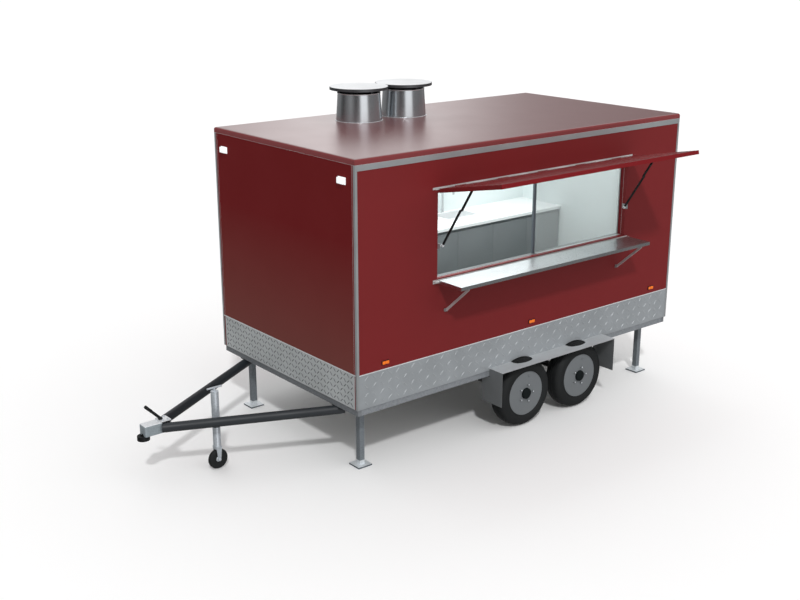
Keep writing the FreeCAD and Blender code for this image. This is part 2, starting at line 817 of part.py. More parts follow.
def wheels():
    """Tyre and steel disc wheel, four of each; the disc faces outwards on both sides."""
    half = size("tyre_wide") / 2
    tread = size("tread_wide") / 2
    radius = size("tyre_radius")
    bead = size("bead_radius")
    flange = size("rim_radius")
    out = size("disc_out")
    plate = size("rim_wall")
    back = half * 0.86
    tyre_points = [(bead, plate - back), (flange + 1, plate - back), (radius - 66, -half),
                   (radius - 28, -half * 0.86), (radius - 6, -tread), (radius, -tread * 0.4),
                   (radius, tread * 0.4), (radius - 6, tread), (radius - 28, half * 0.86),
                   (radius - 66, half), (flange + 1, out - plate), (bead, out - plate)]
    hole = size("spindle_radius") + size("spindle_gap")
    hub = size("hub_radius")
    rim_points = [(hole, out - 70), (hub + 8, out - 70), (hub + 8, out - plate), (bead - plate, out - plate),
                  (bead - plate, -back), (flange, -back), (flange, plate - back), (bead, plate - back),
                  (bead, out - plate), (flange, out - plate), (flange, out), (hub, out),
                  (hub, out + size("hub_proud") - 5), (hub - 5, out + size("hub_proud")),
                  (Size(0, "0"), out + size("hub_proud")), (Size(0, "0"), out), (hole, out)]
    for axle, x in axle_places.items():
        for side_name, side in SIDES.items():
            name = f"{axle}_{side_name}"
            centre = (at_x(x), side * size("wheel_y"), at_z(axle_height))
            tyre = revolve(f"tyre_{name}", "XY_Plane", [(u, side * v) for u, v in tyre_points], "V_Axis")
            place(tyre, *centre)
            keep(f"tyre_{name}", tyre)
            disc = revolve(f"disc_{name}", "XY_Plane", [(u, side * v) for u, v in rim_points], "V_Axis")
            place(disc, *centre)
            studs = []
            face = size("wheel_y") + out
            for index in range(5):
                turn = math.radians(34 + 72 * index)
                ring = size("stud_circle")
                spot_x = centre[0] + ring * math.cos(turn)
                spot_z = centre[2] + ring * math.sin(turn)
                studs.append(cylinder(f"stud_{name}_{index}", size("stud_radius"), "Y",
                                      across(side, face - plate / 2, face + size("stud_proud")),
                                      (spot_x, spot_z)))
            keep(f"wheel_{name}", join(f"wheel_{name}", [disc] + studs))


def fenders():
    """Flat plate over each pair of wheels with a flap at both ends and slots over the tyres."""
    plate = size("fender_plate")
    top = at_z(size("fender_top"))
    for side_name, side in SIDES.items():
        x = (at_x(size("fender_back")), at_x(size("fender_front")))
        deck = box(f"fender_deck_{side_name}", x, across(side, wall_y, size("fender_out")),
                   (top - plate, top))
        pieces = [deck]
        flap_z = (at_z(size("flap_bottom")), top - plate / 2)
        low_z = (at_z(size("flap_bottom")), at_z(rail_bottom - 5))
        for end_name, low in (("front", x[1] - plate), ("rear", x[0])):
            span = (low, low + plate)
            pieces.append(box(f"flap_{end_name}_{side_name}", span,
                              across(side, half_width, size("flap_out")), flap_z))
            pieces.append(box(f"flap_in_{end_name}_{side_name}", span,
                              across(side, size("flap_inner"), half_width), low_z))
        name = f"fender_{side_name}"
        keep(name, cut(name, join(name + "_sheet", pieces), wheel_wells(name + "_slot")))


def floor():
    """Sandwich floor with a raised box over each pair of wheels."""
    deck = box("floor_deck", (at_x(-inner_x), at_x(inner_x)), (-inner_y, inner_y),
               (at_z(skirt_bottom), at_z(floor_top)))
    pieces = [deck]
    room = size("tyre_radius") + size("well_gap")
    ends = (axle_places["rear"] - room - 20, axle_places["front"] + room + 20)
    inner_face = size("wheel_y") - size("tyre_wide") / 2 - size("well_gap") - 20
    for side_name, side in SIDES.items():
        pieces.append(box(f"wheel_box_{side_name}", (at_x(ends[0]), at_x(ends[1])),
                          across(side, inner_face, inner_y),
                          (at_z(skirt_bottom), at_z(axle_height + room + 20))))
    keep("floor", cut("floor", join("floor_and_boxes", pieces), wheel_wells("floor_well")))


def walls():
    """Four sandwich walls, thinner by the skirt's plate below its top edge."""
    base = at_z(skirt_bottom)
    band = at_z(skirt_top)
    top = at_z(roof_under)
    inset = size("skirt_plate")
    for end_name, end in (("front", 1), ("rear", -1)):
        low, high = (inner_x, wall_x) if end > 0 else (-wall_x, -inner_x)
        lower = (low, high - inset) if end > 0 else (low + inset, high)
        keep(f"wall_{end_name}", join(f"wall_{end_name}", [
            box(f"wall_{end_name}_upper", (at_x(low), at_x(high)), (-inner_y, inner_y), (band, top)),
            box(f"wall_{end_name}_lower", (at_x(lower[0]), at_x(lower[1])), (-inner_y, inner_y),
                (base, band))]))
    long_x = (at_x(-wall_x), at_x(wall_x))
    low_x = (at_x(inset - wall_x), at_x(wall_x - inset))
    for side_name, side in SIDES.items():
        upper = box(f"wall_{side_name}_upper", long_x, across(side, inner_y, wall_y), (band, top))
        lower = box(f"wall_{side_name}_lower", low_x, across(side, inner_y, wall_y - inset), (base, band))
        sheet_wall = join(f"wall_{side_name}_panel", [upper, lower])
        if side > 0:
            opening = box("window_cut", (at_x(window_x[0]), at_x(window_x[1])), (inner_y, half_width),
                          (at_z(size("window_bottom")), at_z(size("window_top"))))
        else:
            opening = door_opening("wall_door_cut")
        keep(f"wall_{side_name}", cut(f"wall_{side_name}", sheet_wall,
                                      [opening] + wheel_wells(f"wall_{side_name}_well")))


def door_opening(name):
    gap = size("door_gap")
    return box(name, (at_x(size("door_back") - gap), at_x(size("door_front") + gap)),
               (-half_width - 5, -inner_y + 5),
               (at_z(size("door_bottom") - gap), at_z(size("door_top") + gap)))


def skirts():
    """Tread-plate skirt round the foot of the body, with a narrow cap along its top edge."""
    inset = size("skirt_plate")
    leg = size("trim_leg")
    z = (at_z(skirt_bottom), at_z(skirt_top))
    cap_z = (at_z(skirt_top) - size("skirt_cap"), at_z(skirt_top))
    plates = []
    for end_name, end in (("front", 1), ("rear", -1)):
        flat = (wall_x - inset, wall_x) if end > 0 else (-wall_x, inset - wall_x)
        proud = (wall_x - inset, half_length) if end > 0 else (-half_length, inset - wall_x)
        y = (leg - half_width, half_width - leg)
        plates.append(join(f"skirt_{end_name}", [
            box(f"skirt_{end_name}_plate", (at_x(flat[0]), at_x(flat[1])), (-inner_y, inner_y), z),
            box(f"skirt_{end_name}_cap", (at_x(proud[0]), at_x(proud[1])), y, cap_z)]))
    for side_name, side in SIDES.items():
        name = f"skirt_{side_name}"
        flat = across(side, wall_y - inset, wall_y)
        proud = across(side, wall_y - inset, half_width)
        plate = join(name + "_capped", [
            box(name + "_plate", (at_x(inset - wall_x), at_x(wall_x - inset)), flat, z),
            box(name + "_cap", (at_x(leg - half_length), at_x(half_length - leg)), proud, cap_z)])
        tools = wheel_wells(name + "_well")
        if side < 0:
            tools.append(door_opening("skirt_door_cut"))
        plates.append(cut(name, plate, tools))
    keep("skirts", group("skirts", plates))


def roof():
    """One sandwich panel with rounded upper edges, overhanging nothing."""
    panel = box("roof_panel", (at_x(-half_length), at_x(half_length)), (-half_width, half_width),
                (at_z(roof_under), at_z(size("roof_height"))))
    rounded = doc.addObject("Part::Fillet", "roof")
    rounded.Base = panel
    # the four edges round the top of a box
    rounded.Edges = [(edge, SIZES["roof_round"], SIZES["roof_round"]) for edge in (2, 6, 10, 12)]
    keep("roof", rounded)


def edge_trims():
    """Aluminium angles up the four corners and a cant rail along the top of each long side."""
    leg = size("trim_leg")
    z = (at_z(skirt_bottom), at_z(roof_under))
    pieces = []
    for end_name, end in (("front", 1), ("rear", -1)):
        for side_name, side in SIDES.items():
            name = f"corner_{end_name}_{side_name}"
            out_x = (half_length - leg, half_length) if end > 0 else (-half_length, leg - half_length)
            in_x = (half_length - leg, wall_x) if end > 0 else (-wall_x, leg - half_length)
            block = box(name + "_outer", (at_x(out_x[0]), at_x(out_x[1])),
                        across(side, half_width - leg, half_width), z)
            bore = box(name + "_inner", (at_x(in_x[0]), at_x(in_x[1])),
                       across(side, half_width - leg, wall_y), z)
            pieces.append(cut(name, block, [bore]))
    for side_name, side in SIDES.items():
        pieces.append(box(f"cant_rail_{side_name}", (at_x(leg - half_length), at_x(half_length - leg)),
                          across(side, wall_y, half_width), (z[1] - size("cant_depth"), z[1])))
    keep("edge_trims", group("edge_trims", pieces))


def window_frame():
    """Inner track frame of the serving window, its middle stile and the one fixed pane."""
    bar = size("frame_bar")
    y = (inner_y - size("frame_depth"), inner_y)
    z_low = at_z(size("window_bottom"))
    z_high = at_z(size("window_top"))
    x_low = at_x(window_x[0])
    x_high = at_x(window_x[1])
    outer = box("frame_outer", (x_low - bar, x_high + bar), y, (z_low - bar, z_high + bar))
    inner = box("frame_inner", (x_low, x_high), y, (z_low, z_high))
    stile_x = at_x(size("mullion_x"))
    half = size("mullion_half")
    pane_y = inner_y - size("glass_back")
    stile = box("frame_stile", (stile_x - half, stile_x + half), (pane_y - 6, pane_y + 14), (z_low, z_high))
    frame = join("frame_bars", [cut("frame_ring", outer, [inner]), stile])
    pane = (pane_y, pane_y + size("glass_thick"))
    groove = box("frame_groove", (x_low - bar / 2, stile_x), (pane[0] - 0.3, pane[1] + 0.3),
                 (z_low - bar / 2, z_high + bar / 2))
    keep("window_frame", cut("window_frame", frame, [groove]))
    keep("window_glass", box("window_glass", (x_low - bar / 2 + 0.3, stile_x - 0.3), pane,
                             (z_low - bar / 2 + 0.3, z_high + bar / 2 - 0.3)))


def stay_points():
    """The folding stay's three pivots in the Y-Z plane, open, and the lengths of its two links."""
    lift = size("hatch_open_angle")
    along = (cosine(lift), sine(lift))
    seat = (size("hatch_hinge_y") + size("stay_seat") * along[0] + size("stay_drop") * along[1],
            size("hatch_hinge_z") + size("stay_seat") * along[1] - size("stay_drop") * along[0])
    pivot = (size("stay_pivot_y"), size("stay_pivot_z"))
    open_length = root((seat[0] - pivot[0]) * (seat[0] - pivot[0]) + (seat[1] - pivot[1]) * (seat[1] - pivot[1]))
    shut_length = size("hatch_hinge_z") - size("stay_seat") - size("stay_pivot_z")
    long_link = (open_length + shut_length) / 2
    short_link = (open_length - shut_length) / 2
    share = long_link / open_length
    elbow = (pivot[0] + (seat[0] - pivot[0]) * share, pivot[1] + (seat[1] - pivot[1]) * share)
    return pivot, elbow, seat, long_link, short_link


def link(name, x, start, end, length, wide, thick, start_hole, end_hole):
    """A flat bar with round ends between two pivots of the Y-Z plane, at one X span."""
    body = doc.addObject("Part::Box", name + "_bar")
    bind(body, "Length", thick)
    bind(body, "Width", length)
    bind(body, "Height", wide)
    lean = Size(math.degrees(math.atan2(end[1].value - start[1].value, end[0].value - start[0].value)),
                f"atan2({(end[1] - start[1]).text}; {(end[0] - start[0]).text})")
    place(body, 0, 0, -wide / 2)
    ends = [cylinder(name + "_end_a", wide / 2, "X", (Size(0, "0"), thick), (0, 0)),
            cylinder(name + "_end_b", wide / 2, "X", (Size(0, "0"), thick), (length, 0))]
    bar = join(name + "_blank", [body] + ends)
    holes = [cylinder(f"{name}_hole_{index}", radius, "X", (Size(0, "0"), thick), (spot_y, 0))
             for index, (radius, spot_y) in enumerate(((start_hole, 0), (end_hole, length))) if radius]
    piece = cut(name, bar, holes) if holes else bar
    bind(piece, "Placement.Rotation.Axis.x", 1)
    bind(piece, "Placement.Rotation.Axis.y", 0)
    bind(piece, "Placement.Rotation.Axis.z", 0)
    bind(piece, "Placement.Rotation.Angle", lean)
    return place(piece, x, start[0], start[1])


def hatch():
    """Lift-up hatch: an outer skin on a rim and cross ribs, built flat and turned up to its open angle."""
    half = size("hatch_half")
    face = size("hatch_face")
    lip = size("hatch_lip")
    rim = size("hatch_lip_wide")
    start = size("hatch_start")
    reach = size("hatch_reach")
    low = face - lip
    x = (-half, half)
    pieces = [box("hatch_skin_panel", x, (start, reach), (face - size("hatch_skin"), face)),
              box("hatch_rim_outer", x, (reach - rim, reach), (low, face)),
              box("hatch_rim_hinge", x, (start, start + rim), (low, face))]
    for index, middle in enumerate((-half + rim / 2, half - rim / 2, -half / 3, half / 3)):
        pieces.append(box(f"hatch_rib_{index}", (middle - rim / 2, middle + rim / 2), (start, reach), (low, face)))
    rod_radius = size("hinge_rod")
    bore = rod_radius * 0.5 + size("pin_gap")
    knuckles = []
    for index, middle in enumerate((-0.8, -0.4, 0.0, 0.4, 0.8)):
        knuckle_x = (half * middle - 60, half * middle + 60)
        knuckles.append(cylinder(f"hatch_knuckle_{index}", rod_radius, "X", knuckle_x, (0, 0)))
        knuckles.append(box(f"hatch_leaf_{index}", knuckle_x, (Size(0, "0"), start + 2),
                            (-size("hinge_leaf") / 2, size("hinge_leaf") / 2)))
    seat = size("stay_seat")
    drop = size("stay_drop")
    thick = size("stay_thick")
    for side in (-1, 1):
        middle = side * size("stay_half")
        plate = across(side, size("stay_half") - thick - 7, size("stay_half") - thick - 3)
        pin = across(side, size("stay_half") - thick - 5, size("stay_half") - 0.5)
        pieces.append(box(f"stay_ear_{side + 1}", plate, (seat - 12, seat + 12), (-drop - 8, face - 2)))
        pieces.append(cylinder(f"stay_seat_pin_{side + 1}", size("stay_pin"), "X", pin, (seat, -drop)))
    solid = join("hatch_solid", pieces + knuckles)
    drilled = cut("hatch", solid, [cylinder("hatch_hinge_bore", bore, "X", x, (0, 0))])
    bind(drilled, "Placement.Rotation.Axis.x", 1)
    bind(drilled, "Placement.Rotation.Axis.y", 0)
    bind(drilled, "Placement.Rotation.Axis.z", 0)
    bind(drilled, "Placement.Rotation.Angle", size("hatch_open_angle"))
    place(drilled, at_x(size("window_mid")), size("hatch_hinge_y"), at_z(size("hatch_hinge_z")))
    keep("hatch", drilled)


def hatch_hinge():
    """Wall half of the hatch's long hinge: a folded leaf, its knuckles and the rod through all."""
    half = size("hinge_half")
    middle = at_x(size("window_mid"))
    y = size("hatch_hinge_y")
    z = at_z(size("hatch_hinge_z"))
    leaf = size("hinge_leaf")
    radius = size("hinge_rod")
    pieces = [box("hinge_wall_leaf", (middle - half, middle + half), (wall_y, wall_y + leaf), (z - 10, z + 8)),
              cylinder("hinge_long_rod", radius * 0.5, "X", (middle - half, middle + half), (y, z))]
    for index, place_share in enumerate((-0.93, -0.6, -0.2, 0.2, 0.6, 0.93)):
        reach = 62 if abs(place_share) < 0.9 else 34
        centre = middle + half * place_share
        span = (centre - reach, centre + reach)
        pieces.append(cylinder(f"hinge_knuckle_{index}", radius, "X", span, (y, z)))
        pieces.append(box(f"hinge_web_{index}", span, (wall_y, y), (z - leaf / 2, z + leaf / 2)))
    keep("hatch_hinge", join("hatch_hinge", pieces))


def stays():
    """Two folding stays that hold the hatch up: a long link from the jamb and a short one from the hatch."""
    pivot, elbow, seat, long_link, short_link = stay_points()
    wide = size("stay_wide")
    thick = size("stay_thick")
    hole = size("stay_pin") + size("pin_gap")
    gap = 0.4
    pivot = (pivot[0], at_z(pivot[1]))
    elbow = (elbow[0], at_z(elbow[1]))
    seat = (seat[0], at_z(seat[1]))
    lowers = []
    uppers = []
    for side_name, side in (("front", 1), ("rear", -1)):
        centre = at_x(size("window_mid")) + side * size("stay_half")
        outer = centre + gap if side > 0 else centre - gap - thick
        inner = centre - gap - thick if side > 0 else centre + gap
        bar = link(f"stay_link_{side_name}", outer, pivot, elbow, long_link, wide, thick, None, None)
        holes = []
        rivet_span = (inner, outer + thick) if side > 0 else (outer, inner + thick)
        rivet = cylinder(f"elbow_rivet_{side_name}", size("stay_pin"), "X", rivet_span, elbow)
        bored = cylinder(f"pivot_hole_{side_name}", hole, "X", (outer, outer + thick), pivot)
        lowers.append(cut(f"stay_lower_{side_name}", join(f"stay_riveted_{side_name}", [bar, rivet]), [bored]))
        uppers.append(link(f"stay_short_{side_name}", inner, elbow, seat, short_link, wide, thick, hole, hole))
    keep("stay_lowers", group("stay_lowers", lowers))
    keep("stay_uppers", group("stay_uppers", uppers))


def window_brackets():
    """Jamb brackets that carry the stays' lower pivots and wall brackets for the shelf's braces."""
    pieces = []
    middle = at_x(size("window_mid"))
    jamb = size("window_half")
    pivot_y = size("stay_pivot_y")
    pivot_z = at_z(size("stay_pivot_z"))
    for side in (1, -1):
        plate = (jamb - 4, jamb) if side > 0 else (-jamb, 4 - jamb)
        pin = across(side, size("stay_half") + size("stay_thick") + 1.1, jamb - 2)
        collar = across(side, size("stay_half") + size("stay_thick") + 3, jamb - 2)
        pieces.append(join(f"stay_bracket_{side + 1}", [
            box(f"stay_plate_{side + 1}", (middle + plate[0], middle + plate[1]), (inner_y + 6, pivot_y + 9),
                (pivot_z - 22, pivot_z + 22)),
            cylinder(f"stay_collar_{side + 1}", size("stay_pin") + 5, "X",
                     (middle + collar[0], middle + collar[1]), (pivot_y, pivot_z)),
            cylinder(f"stay_pin_{side + 1}", size("stay_pin"), "X", (middle + pin[0], middle + pin[1]),
                     (pivot_y, pivot_z))]))
    brace_y = size("brace_pivot_y")
    brace_z = at_z(size("brace_pivot_z"))
    thick = size("brace_thick")
    for side in (1, -1):
        centre = middle + side * size("brace_half")
        ears = [box(f"brace_ear_{side + 1}_{index}", (centre + low, centre + high), (wall_y, brace_y + 8),
                    (brace_z - 10, brace_z + 10))
                for index, (low, high) in enumerate(((thick / 2 + 1, thick / 2 + 5), (-thick / 2 - 5, -thick / 2 - 1)))]
        base = box(f"brace_base_{side + 1}", (centre - 12, centre + 12), (wall_y, wall_y + 3),
                   (brace_z - 14, brace_z + 12))
        pin = cylinder(f"brace_pin_{side + 1}", size("stay_pin"), "X",
                       (centre - thick / 2 - 5, centre + thick / 2 + 5), (brace_y, brace_z))
        pieces.append(join(f"brace_bracket_{side + 1}", [base, pin] + ears))
    keep("window_brackets", group("window_brackets", pieces))


def shelf():
    """Folded-sheet serving shelf on a rod along the foot of the window."""
    middle = at_x(size("window_mid"))
    half = size("shelf_half")
    y = size("shelf_hinge_y")
    z = at_z(size("shelf_hinge_z"))
    thick = size("shelf_thick") / 2
    sheet_metal = size("shelf_sheet")
    reach = y + size("shelf_reach")
    start = y + size("shelf_start")
    x = (middle - half, middle + half)
    outer = box("shelf_block", x, (start, reach), (z - thick, z + thick))
    inner = box("shelf_hollow", (x[0] + sheet_metal, x[1] - sheet_metal),
                (start + sheet_metal, reach - sheet_metal), (z - thick, z + thick - sheet_metal))
    rod_radius = size("hinge_rod")
    pieces = [cut("shelf_tray", outer, [inner])]
    for index, share in enumerate((-0.75, 0.0, 0.75)):
        span = (middle + half * share - 80, middle + half * share + 80)
        pieces.append(cylinder(f"shelf_knuckle_{index}", rod_radius, "X", span, (y, z)))
        pieces.append(box(f"shelf_leaf_{index}", span, (y, start + 1),
                          (z - size("hinge_leaf") / 2, z + size("hinge_leaf") / 2)))
        pieces.append(box(f"shelf_rib_{index}", (span[0], span[0] + sheet_metal), (start, reach),
                          (z - thick + 2, z + thick)))
    solid = join("shelf_solid", pieces)
    bore = cylinder("shelf_bore", rod_radius * 0.5 + size("pin_gap"), "X", x, (y, z))
    keep("shelf", cut("shelf", solid, [bore]))

    rod_half = size("shelf_rod_half")
    pieces = [cylinder("shelf_rod", rod_radius * 0.5, "X", (middle - rod_half, middle + rod_half), (y, z)),
              box("shelf_wall_leaf", (middle - rod_half, middle + rod_half), (wall_y, wall_y + 3),
                  (z - 20, z + 12))]
    for index, share in enumerate((-0.985, -0.375, 0.375, 0.985)):
        reach = 18 if abs(share) > 0.9 else 40
        centre = middle + rod_half * share
        span = (centre - reach, centre + reach)
        pieces.append(cylinder(f"shelf_rod_knuckle_{index}", rod_radius, "X", span, (y, z)))
        pieces.append(box(f"shelf_rod_web_{index}", span, (wall_y, y),
                          (z - size("hinge_leaf") / 2, z + size("hinge_leaf") / 2)))
    keep("shelf_hinge", join("shelf_hinge", pieces))


def braces():
    """Flat bars that prop the shelf from below and swing down against the wall."""
    middle = at_x(size("window_mid"))
    start = (size("brace_pivot_y"), at_z(size("brace_pivot_z")))
    wide = size("brace_wide")
    end = (size("shelf_hinge_y") + size("brace_seat"),
           at_z(size("shelf_hinge_z")) - size("shelf_thick") / 2 - wide / 2 - 0.3)
    reach = root((end[0] - start[0]) * (end[0] - start[0]) + (end[1] - start[1]) * (end[1] - start[1]))
    thick = size("brace_thick")
    hole = size("stay_pin") + size("pin_gap")
    bars = []
    for side_name, side in (("front", 1), ("rear", -1)):
        x = middle + side * size("brace_half") - thick / 2
        bars.append(link(f"brace_{side_name}", x, start, end, reach, wide, thick, hole, None))
    keep("braces", group("braces", bars))


def entrance_door():
    """Door in the off side, with its hinges on the forward edge and a lever latch."""
    x = (at_x(size("door_back")), at_x(size("door_front")))
    z = (at_z(size("door_bottom")), at_z(size("door_top")))
    inset = size("skirt_plate")
    panel = [box("door_upper", x, (-wall_y, -inner_y), (at_z(skirt_top), z[1])),
             box("door_lower", x, (-wall_y, -inner_y), (z[0], at_z(skirt_top)))]
    hinge_x = x[1] + size("door_gap") / 2
    hinge_y = -wall_y - size("door_hinge_out")
    radius = size("hinge_rod")
    latch_x = x[0] + 70
    latch_z = at_z(skirt_top) + size("latch_rise")
    fittings = [cylinder("latch_rose", Size(26, "26"), "Y", (-wall_y - 9, -wall_y), (latch_x, latch_z)),
                cylinder("latch_neck", Size(9, "9"), "Y", (-wall_y - 44, -wall_y - 9), (latch_x, latch_z)),
                box("latch_lever", (latch_x - 10, latch_x + size("latch_long")), (-wall_y - 54, -wall_y - 40),
                    (latch_z - 11, latch_z + 11))]
    wall_leaves = []
    for index, share in enumerate((0.1, 0.5, 0.9)):
        mid_z = z[0] + (z[1] - z[0]) * share
        door_span = (mid_z - 60, mid_z - 1)
        wall_span = (mid_z + 1, mid_z + 60)
        fittings.append(cylinder(f"door_knuckle_{index}", radius, "Z", door_span, (hinge_x, hinge_y)))
        fittings.append(box(f"door_leaf_{index}", (hinge_x - 46, hinge_x), (hinge_y - 2, hinge_y + 2), door_span))
        fittings.append(box(f"door_leaf_foot_{index}", (hinge_x - 50, hinge_x - 24), (hinge_y, -wall_y), door_span))
        pin = cylinder(f"door_pin_{index}", radius * 0.5, "Z", (door_span[0] - 2, wall_span[1]), (hinge_x, hinge_y))
        wall_leaves.append(join(f"door_hinge_{index}", [
            pin,
            cylinder(f"frame_knuckle_{index}", radius, "Z", wall_span, (hinge_x, hinge_y)),
            box(f"frame_leaf_{index}", (hinge_x, hinge_x + 46), (hinge_y - 2, hinge_y + 2), wall_span),
            box(f"frame_leaf_foot_{index}", (hinge_x + 24, hinge_x + 50), (hinge_y, -wall_y), wall_span)]))
    solid = join("door_solid", panel + fittings)
    bore = cylinder("door_hinge_bore", radius * 0.5 + size("pin_gap"), "Z", z, (hinge_x, hinge_y))
    keep("entrance_door", cut("entrance_door", solid, [bore]))
    keep("door_hinges", group("door_hinges", wall_leaves))


def galley():
    """Cabinet and worktop along the off side, with a drop-in sink and a tall tap behind it."""
    top = at_z(size("worktop_height"))
    under = top - size("worktop_thick")
    x = (at_x(-inner_x), at_x(size("worktop_end")))
    y = (-inner_y, -size("worktop_front"))
    sink_x = (at_x(size("sink_back_x")), at_x(size("sink_front_x")))
    sink_y = (-size("sink_far_y"), -size("sink_near_y"))
    sheet_metal = size("sink_sheet")
    margin = 20
    well_x = (sink_x[0] + margin, sink_x[1] - margin)
    well_y = (sink_y[0] + margin, sink_y[1] - margin)
    slab = box("worktop_slab", x, y, (under, top))
    keep("worktop", cut("worktop", slab, [box("sink_cut", well_x, well_y, (under, top))]))
    face = -size("worktop_front") - size("cabinet_set_back")
    base = box("cabinet_block", x, (-inner_y, face), (at_z(floor_top), under))
    room = box("sink_room", (well_x[0] - 20, well_x[1] + 20), (well_y[0] - 20, well_y[1] + 20),
               (under - size("sink_deep") - 40, under))
    panel = 18
    stores = []
    store_y = (-inner_y + panel, face - panel)
    spans = ((x[0] + panel, well_x[0] - 20 - panel), (well_x[1] + 20 + panel, x[1] - panel))
    low_z = at_z(axle_height + size("tyre_radius") + size("well_gap") + 20) + panel
    for index, (low, high) in enumerate(spans):
        stores.append(box(f"cabinet_store_{index}", (low, high), store_y, (low_z, under - panel)))
    stores.append(box("cabinet_store_sink", (well_x[0] - 20, well_x[1] + 20), store_y,
                      (low_z, under - size("sink_deep") - 40 - panel)))
    room_around = size("tyre_radius") + size("well_gap")
    ends = (axle_places["rear"] - room_around - 20, axle_places["front"] + room_around + 20)
    inner_face = size("wheel_y") - size("tyre_wide") / 2 - size("well_gap") - 20
    box_cut = box("cabinet_wheel_box", (at_x(ends[0]), at_x(ends[1])), (-inner_y, -inner_face),
                  (at_z(skirt_bottom), at_z(axle_height + room_around + 20)))
    keep("cabinet", cut("cabinet", base, [room, box_cut] + stores))
    bowl_gap = 1
    bowl_x = (well_x[0] + bowl_gap, well_x[1] - bowl_gap)
    bowl_y = (well_y[0] + bowl_gap, well_y[1] - bowl_gap)
    rim = box("sink_rim_block", sink_x, sink_y, (top, top + size("sink_rim")))
    bowl = box("sink_bowl_block", bowl_x, bowl_y, (top - size("sink_deep"), top + size("sink_rim")))
    hollow = box("sink_hollow", (bowl_x[0] + sheet_metal, bowl_x[1] - sheet_metal),
                 (bowl_y[0] + sheet_metal, bowl_y[1] - sheet_metal),
                 (top - size("sink_deep") + sheet_metal, top + size("sink_rim")))
    drain = cylinder("sink_drain", Size(22, "22"), "Z",
                     (top - size("sink_deep"), top - size("sink_deep") + sheet_metal),
                     ((bowl_x[0] + bowl_x[1]) / 2, (bowl_y[0] + bowl_y[1]) / 2))
    keep("sink", cut("sink", join("sink_shell", [rim, bowl]), [hollow, drain]))
    tap_x = at_x(size("tap_x"))
    tap_y = -size("tap_y")
    radius = size("tap_radius")
    head = top + size("tap_rise")
    spout_y = tap_y + size("tap_reach")
    keep("tap", join("tap", [
        cylinder("tap_base", radius * 2, "Z", (top, top + 12), (tap_x, tap_y)),
        cylinder("tap_riser", radius, "Z", (top, head), (tap_x, tap_y)),
        sphere("tap_elbow", radius, tap_x, tap_y, head),
        cylinder("tap_spout", radius, "Y", (tap_y, spout_y), (tap_x, head)),
        sphere("tap_bend", radius, tap_x, spout_y, head),
        cylinder("tap_outlet", radius, "Z", (head - 60, head), (tap_x, spout_y))]))


def roof_vents():
    """Two tapered flue stacks on the roof, each with a flat rain cap on three posts."""
    base = at_z(size("roof_height"))
    top = base + size("vent_rise")
    sheet_metal = size("vent_sheet")
    cap_low = top + size("vent_cap_gap")
    stacks = []
    caps = []
    y = size("vent_y")
    for index, alias in enumerate(("vent_one_x", "vent_two_x")):
        x = at_x(size(alias))
        outer = cone(f"stack_outer_{index}", size("vent_base_radius"), size("vent_top_radius"), (base, top), x, y)
        inner = cone(f"stack_inner_{index}", size("vent_base_radius") - sheet_metal,
                     size("vent_top_radius") - sheet_metal, (base, top), x, y)
        stacks.append(cut(f"stack_{index}", outer, [inner]))
        disc = cylinder(f"cap_disc_{index}", size("vent_cap_radius"), "Z",
                        (cap_low, cap_low + size("vent_cap_thick")), (x, y))
        under = cylinder(f"cap_hollow_{index}", size("vent_cap_radius") - sheet_metal, "Z",
                         (cap_low, cap_low + size("vent_cap_thick") - sheet_metal), (x, y))
        posts = []
        for leg in range(3):
            turn = math.radians(90 + 120 * leg)
            ring = size("vent_top_radius") - sheet_metal / 2
            post_x = x + ring * math.cos(turn)
            post_y = y + ring * math.sin(turn)
            posts.append(cylinder(f"cap_post_{index}_{leg}", Size(6, "6"), "Z",
                                  (top, cap_low + size("vent_cap_thick") - sheet_metal),
                                  (post_x, post_y)))
        caps.append(join(f"cap_{index}", [cut(f"cap_shell_{index}", disc, [under])] + posts))
    keep("vent_stacks", group("vent_stacks", stacks))
    keep("vent_caps", group("vent_caps", caps))


def lamps():
    """Side markers, front markers high on the nose and tail lamps on the rear skirt."""
    proud = size("lamp_proud")
    side_lamps = []
    for side_name, side in SIDES.items():
        for index, x in enumerate((size("side_lamp_end"), Size(-16, "-16"), -size("side_lamp_end") - 16)):
            half = size("side_lamp_long") / 2
            tall = size("side_lamp_tall") / 2
            z = at_z(size("side_lamp_height"))
            side_lamps.append(box(f"side_lamp_{side_name}_{index}", (at_x(x - half), at_x(x + half)),
                                  across(side, wall_y, wall_y + proud), (z - tall, z + tall)))
    keep("side_lamps", group("side_lamps", side_lamps))
    front = []
    rear = []
    for side_name, side in SIDES.items():
        half = size("front_lamp_wide") / 2
        tall = size("front_lamp_tall") / 2
        z = at_z(size("front_lamp_height"))
        y = side * size("front_lamp_y")
        front.append(box(f"front_lamp_{side_name}", (at_x(wall_x), at_x(wall_x + size("front_lamp_proud"))),
                         (y - half, y + half), (z - tall, z + tall)))
        half = size("tail_lamp_wide") / 2
        tall = size("tail_lamp_tall") / 2
        z = at_z(size("tail_lamp_height"))
        y = side * size("tail_lamp_y")
        rear.append(box(f"tail_lamp_{side_name}", (at_x(-wall_x - proud * 2), at_x(-wall_x)),
                        (y - half, y + half), (z - tall, z + tall)))
    keep("front_lamps", group("front_lamps", front))
    keep("tail_lamps", group("tail_lamps", rear))


BUILDERS = (chassis, drawbar, coupler, jockey, steadies, running_gear, wheels, fenders, floor, walls, skirts,
            roof, edge_trims, window_frame, hatch, hatch_hinge, stays, window_brackets, shelf, braces,
            entrance_door, galley, roof_vents, lamps)
for build in BUILDERS:
    build()
doc.recompute()

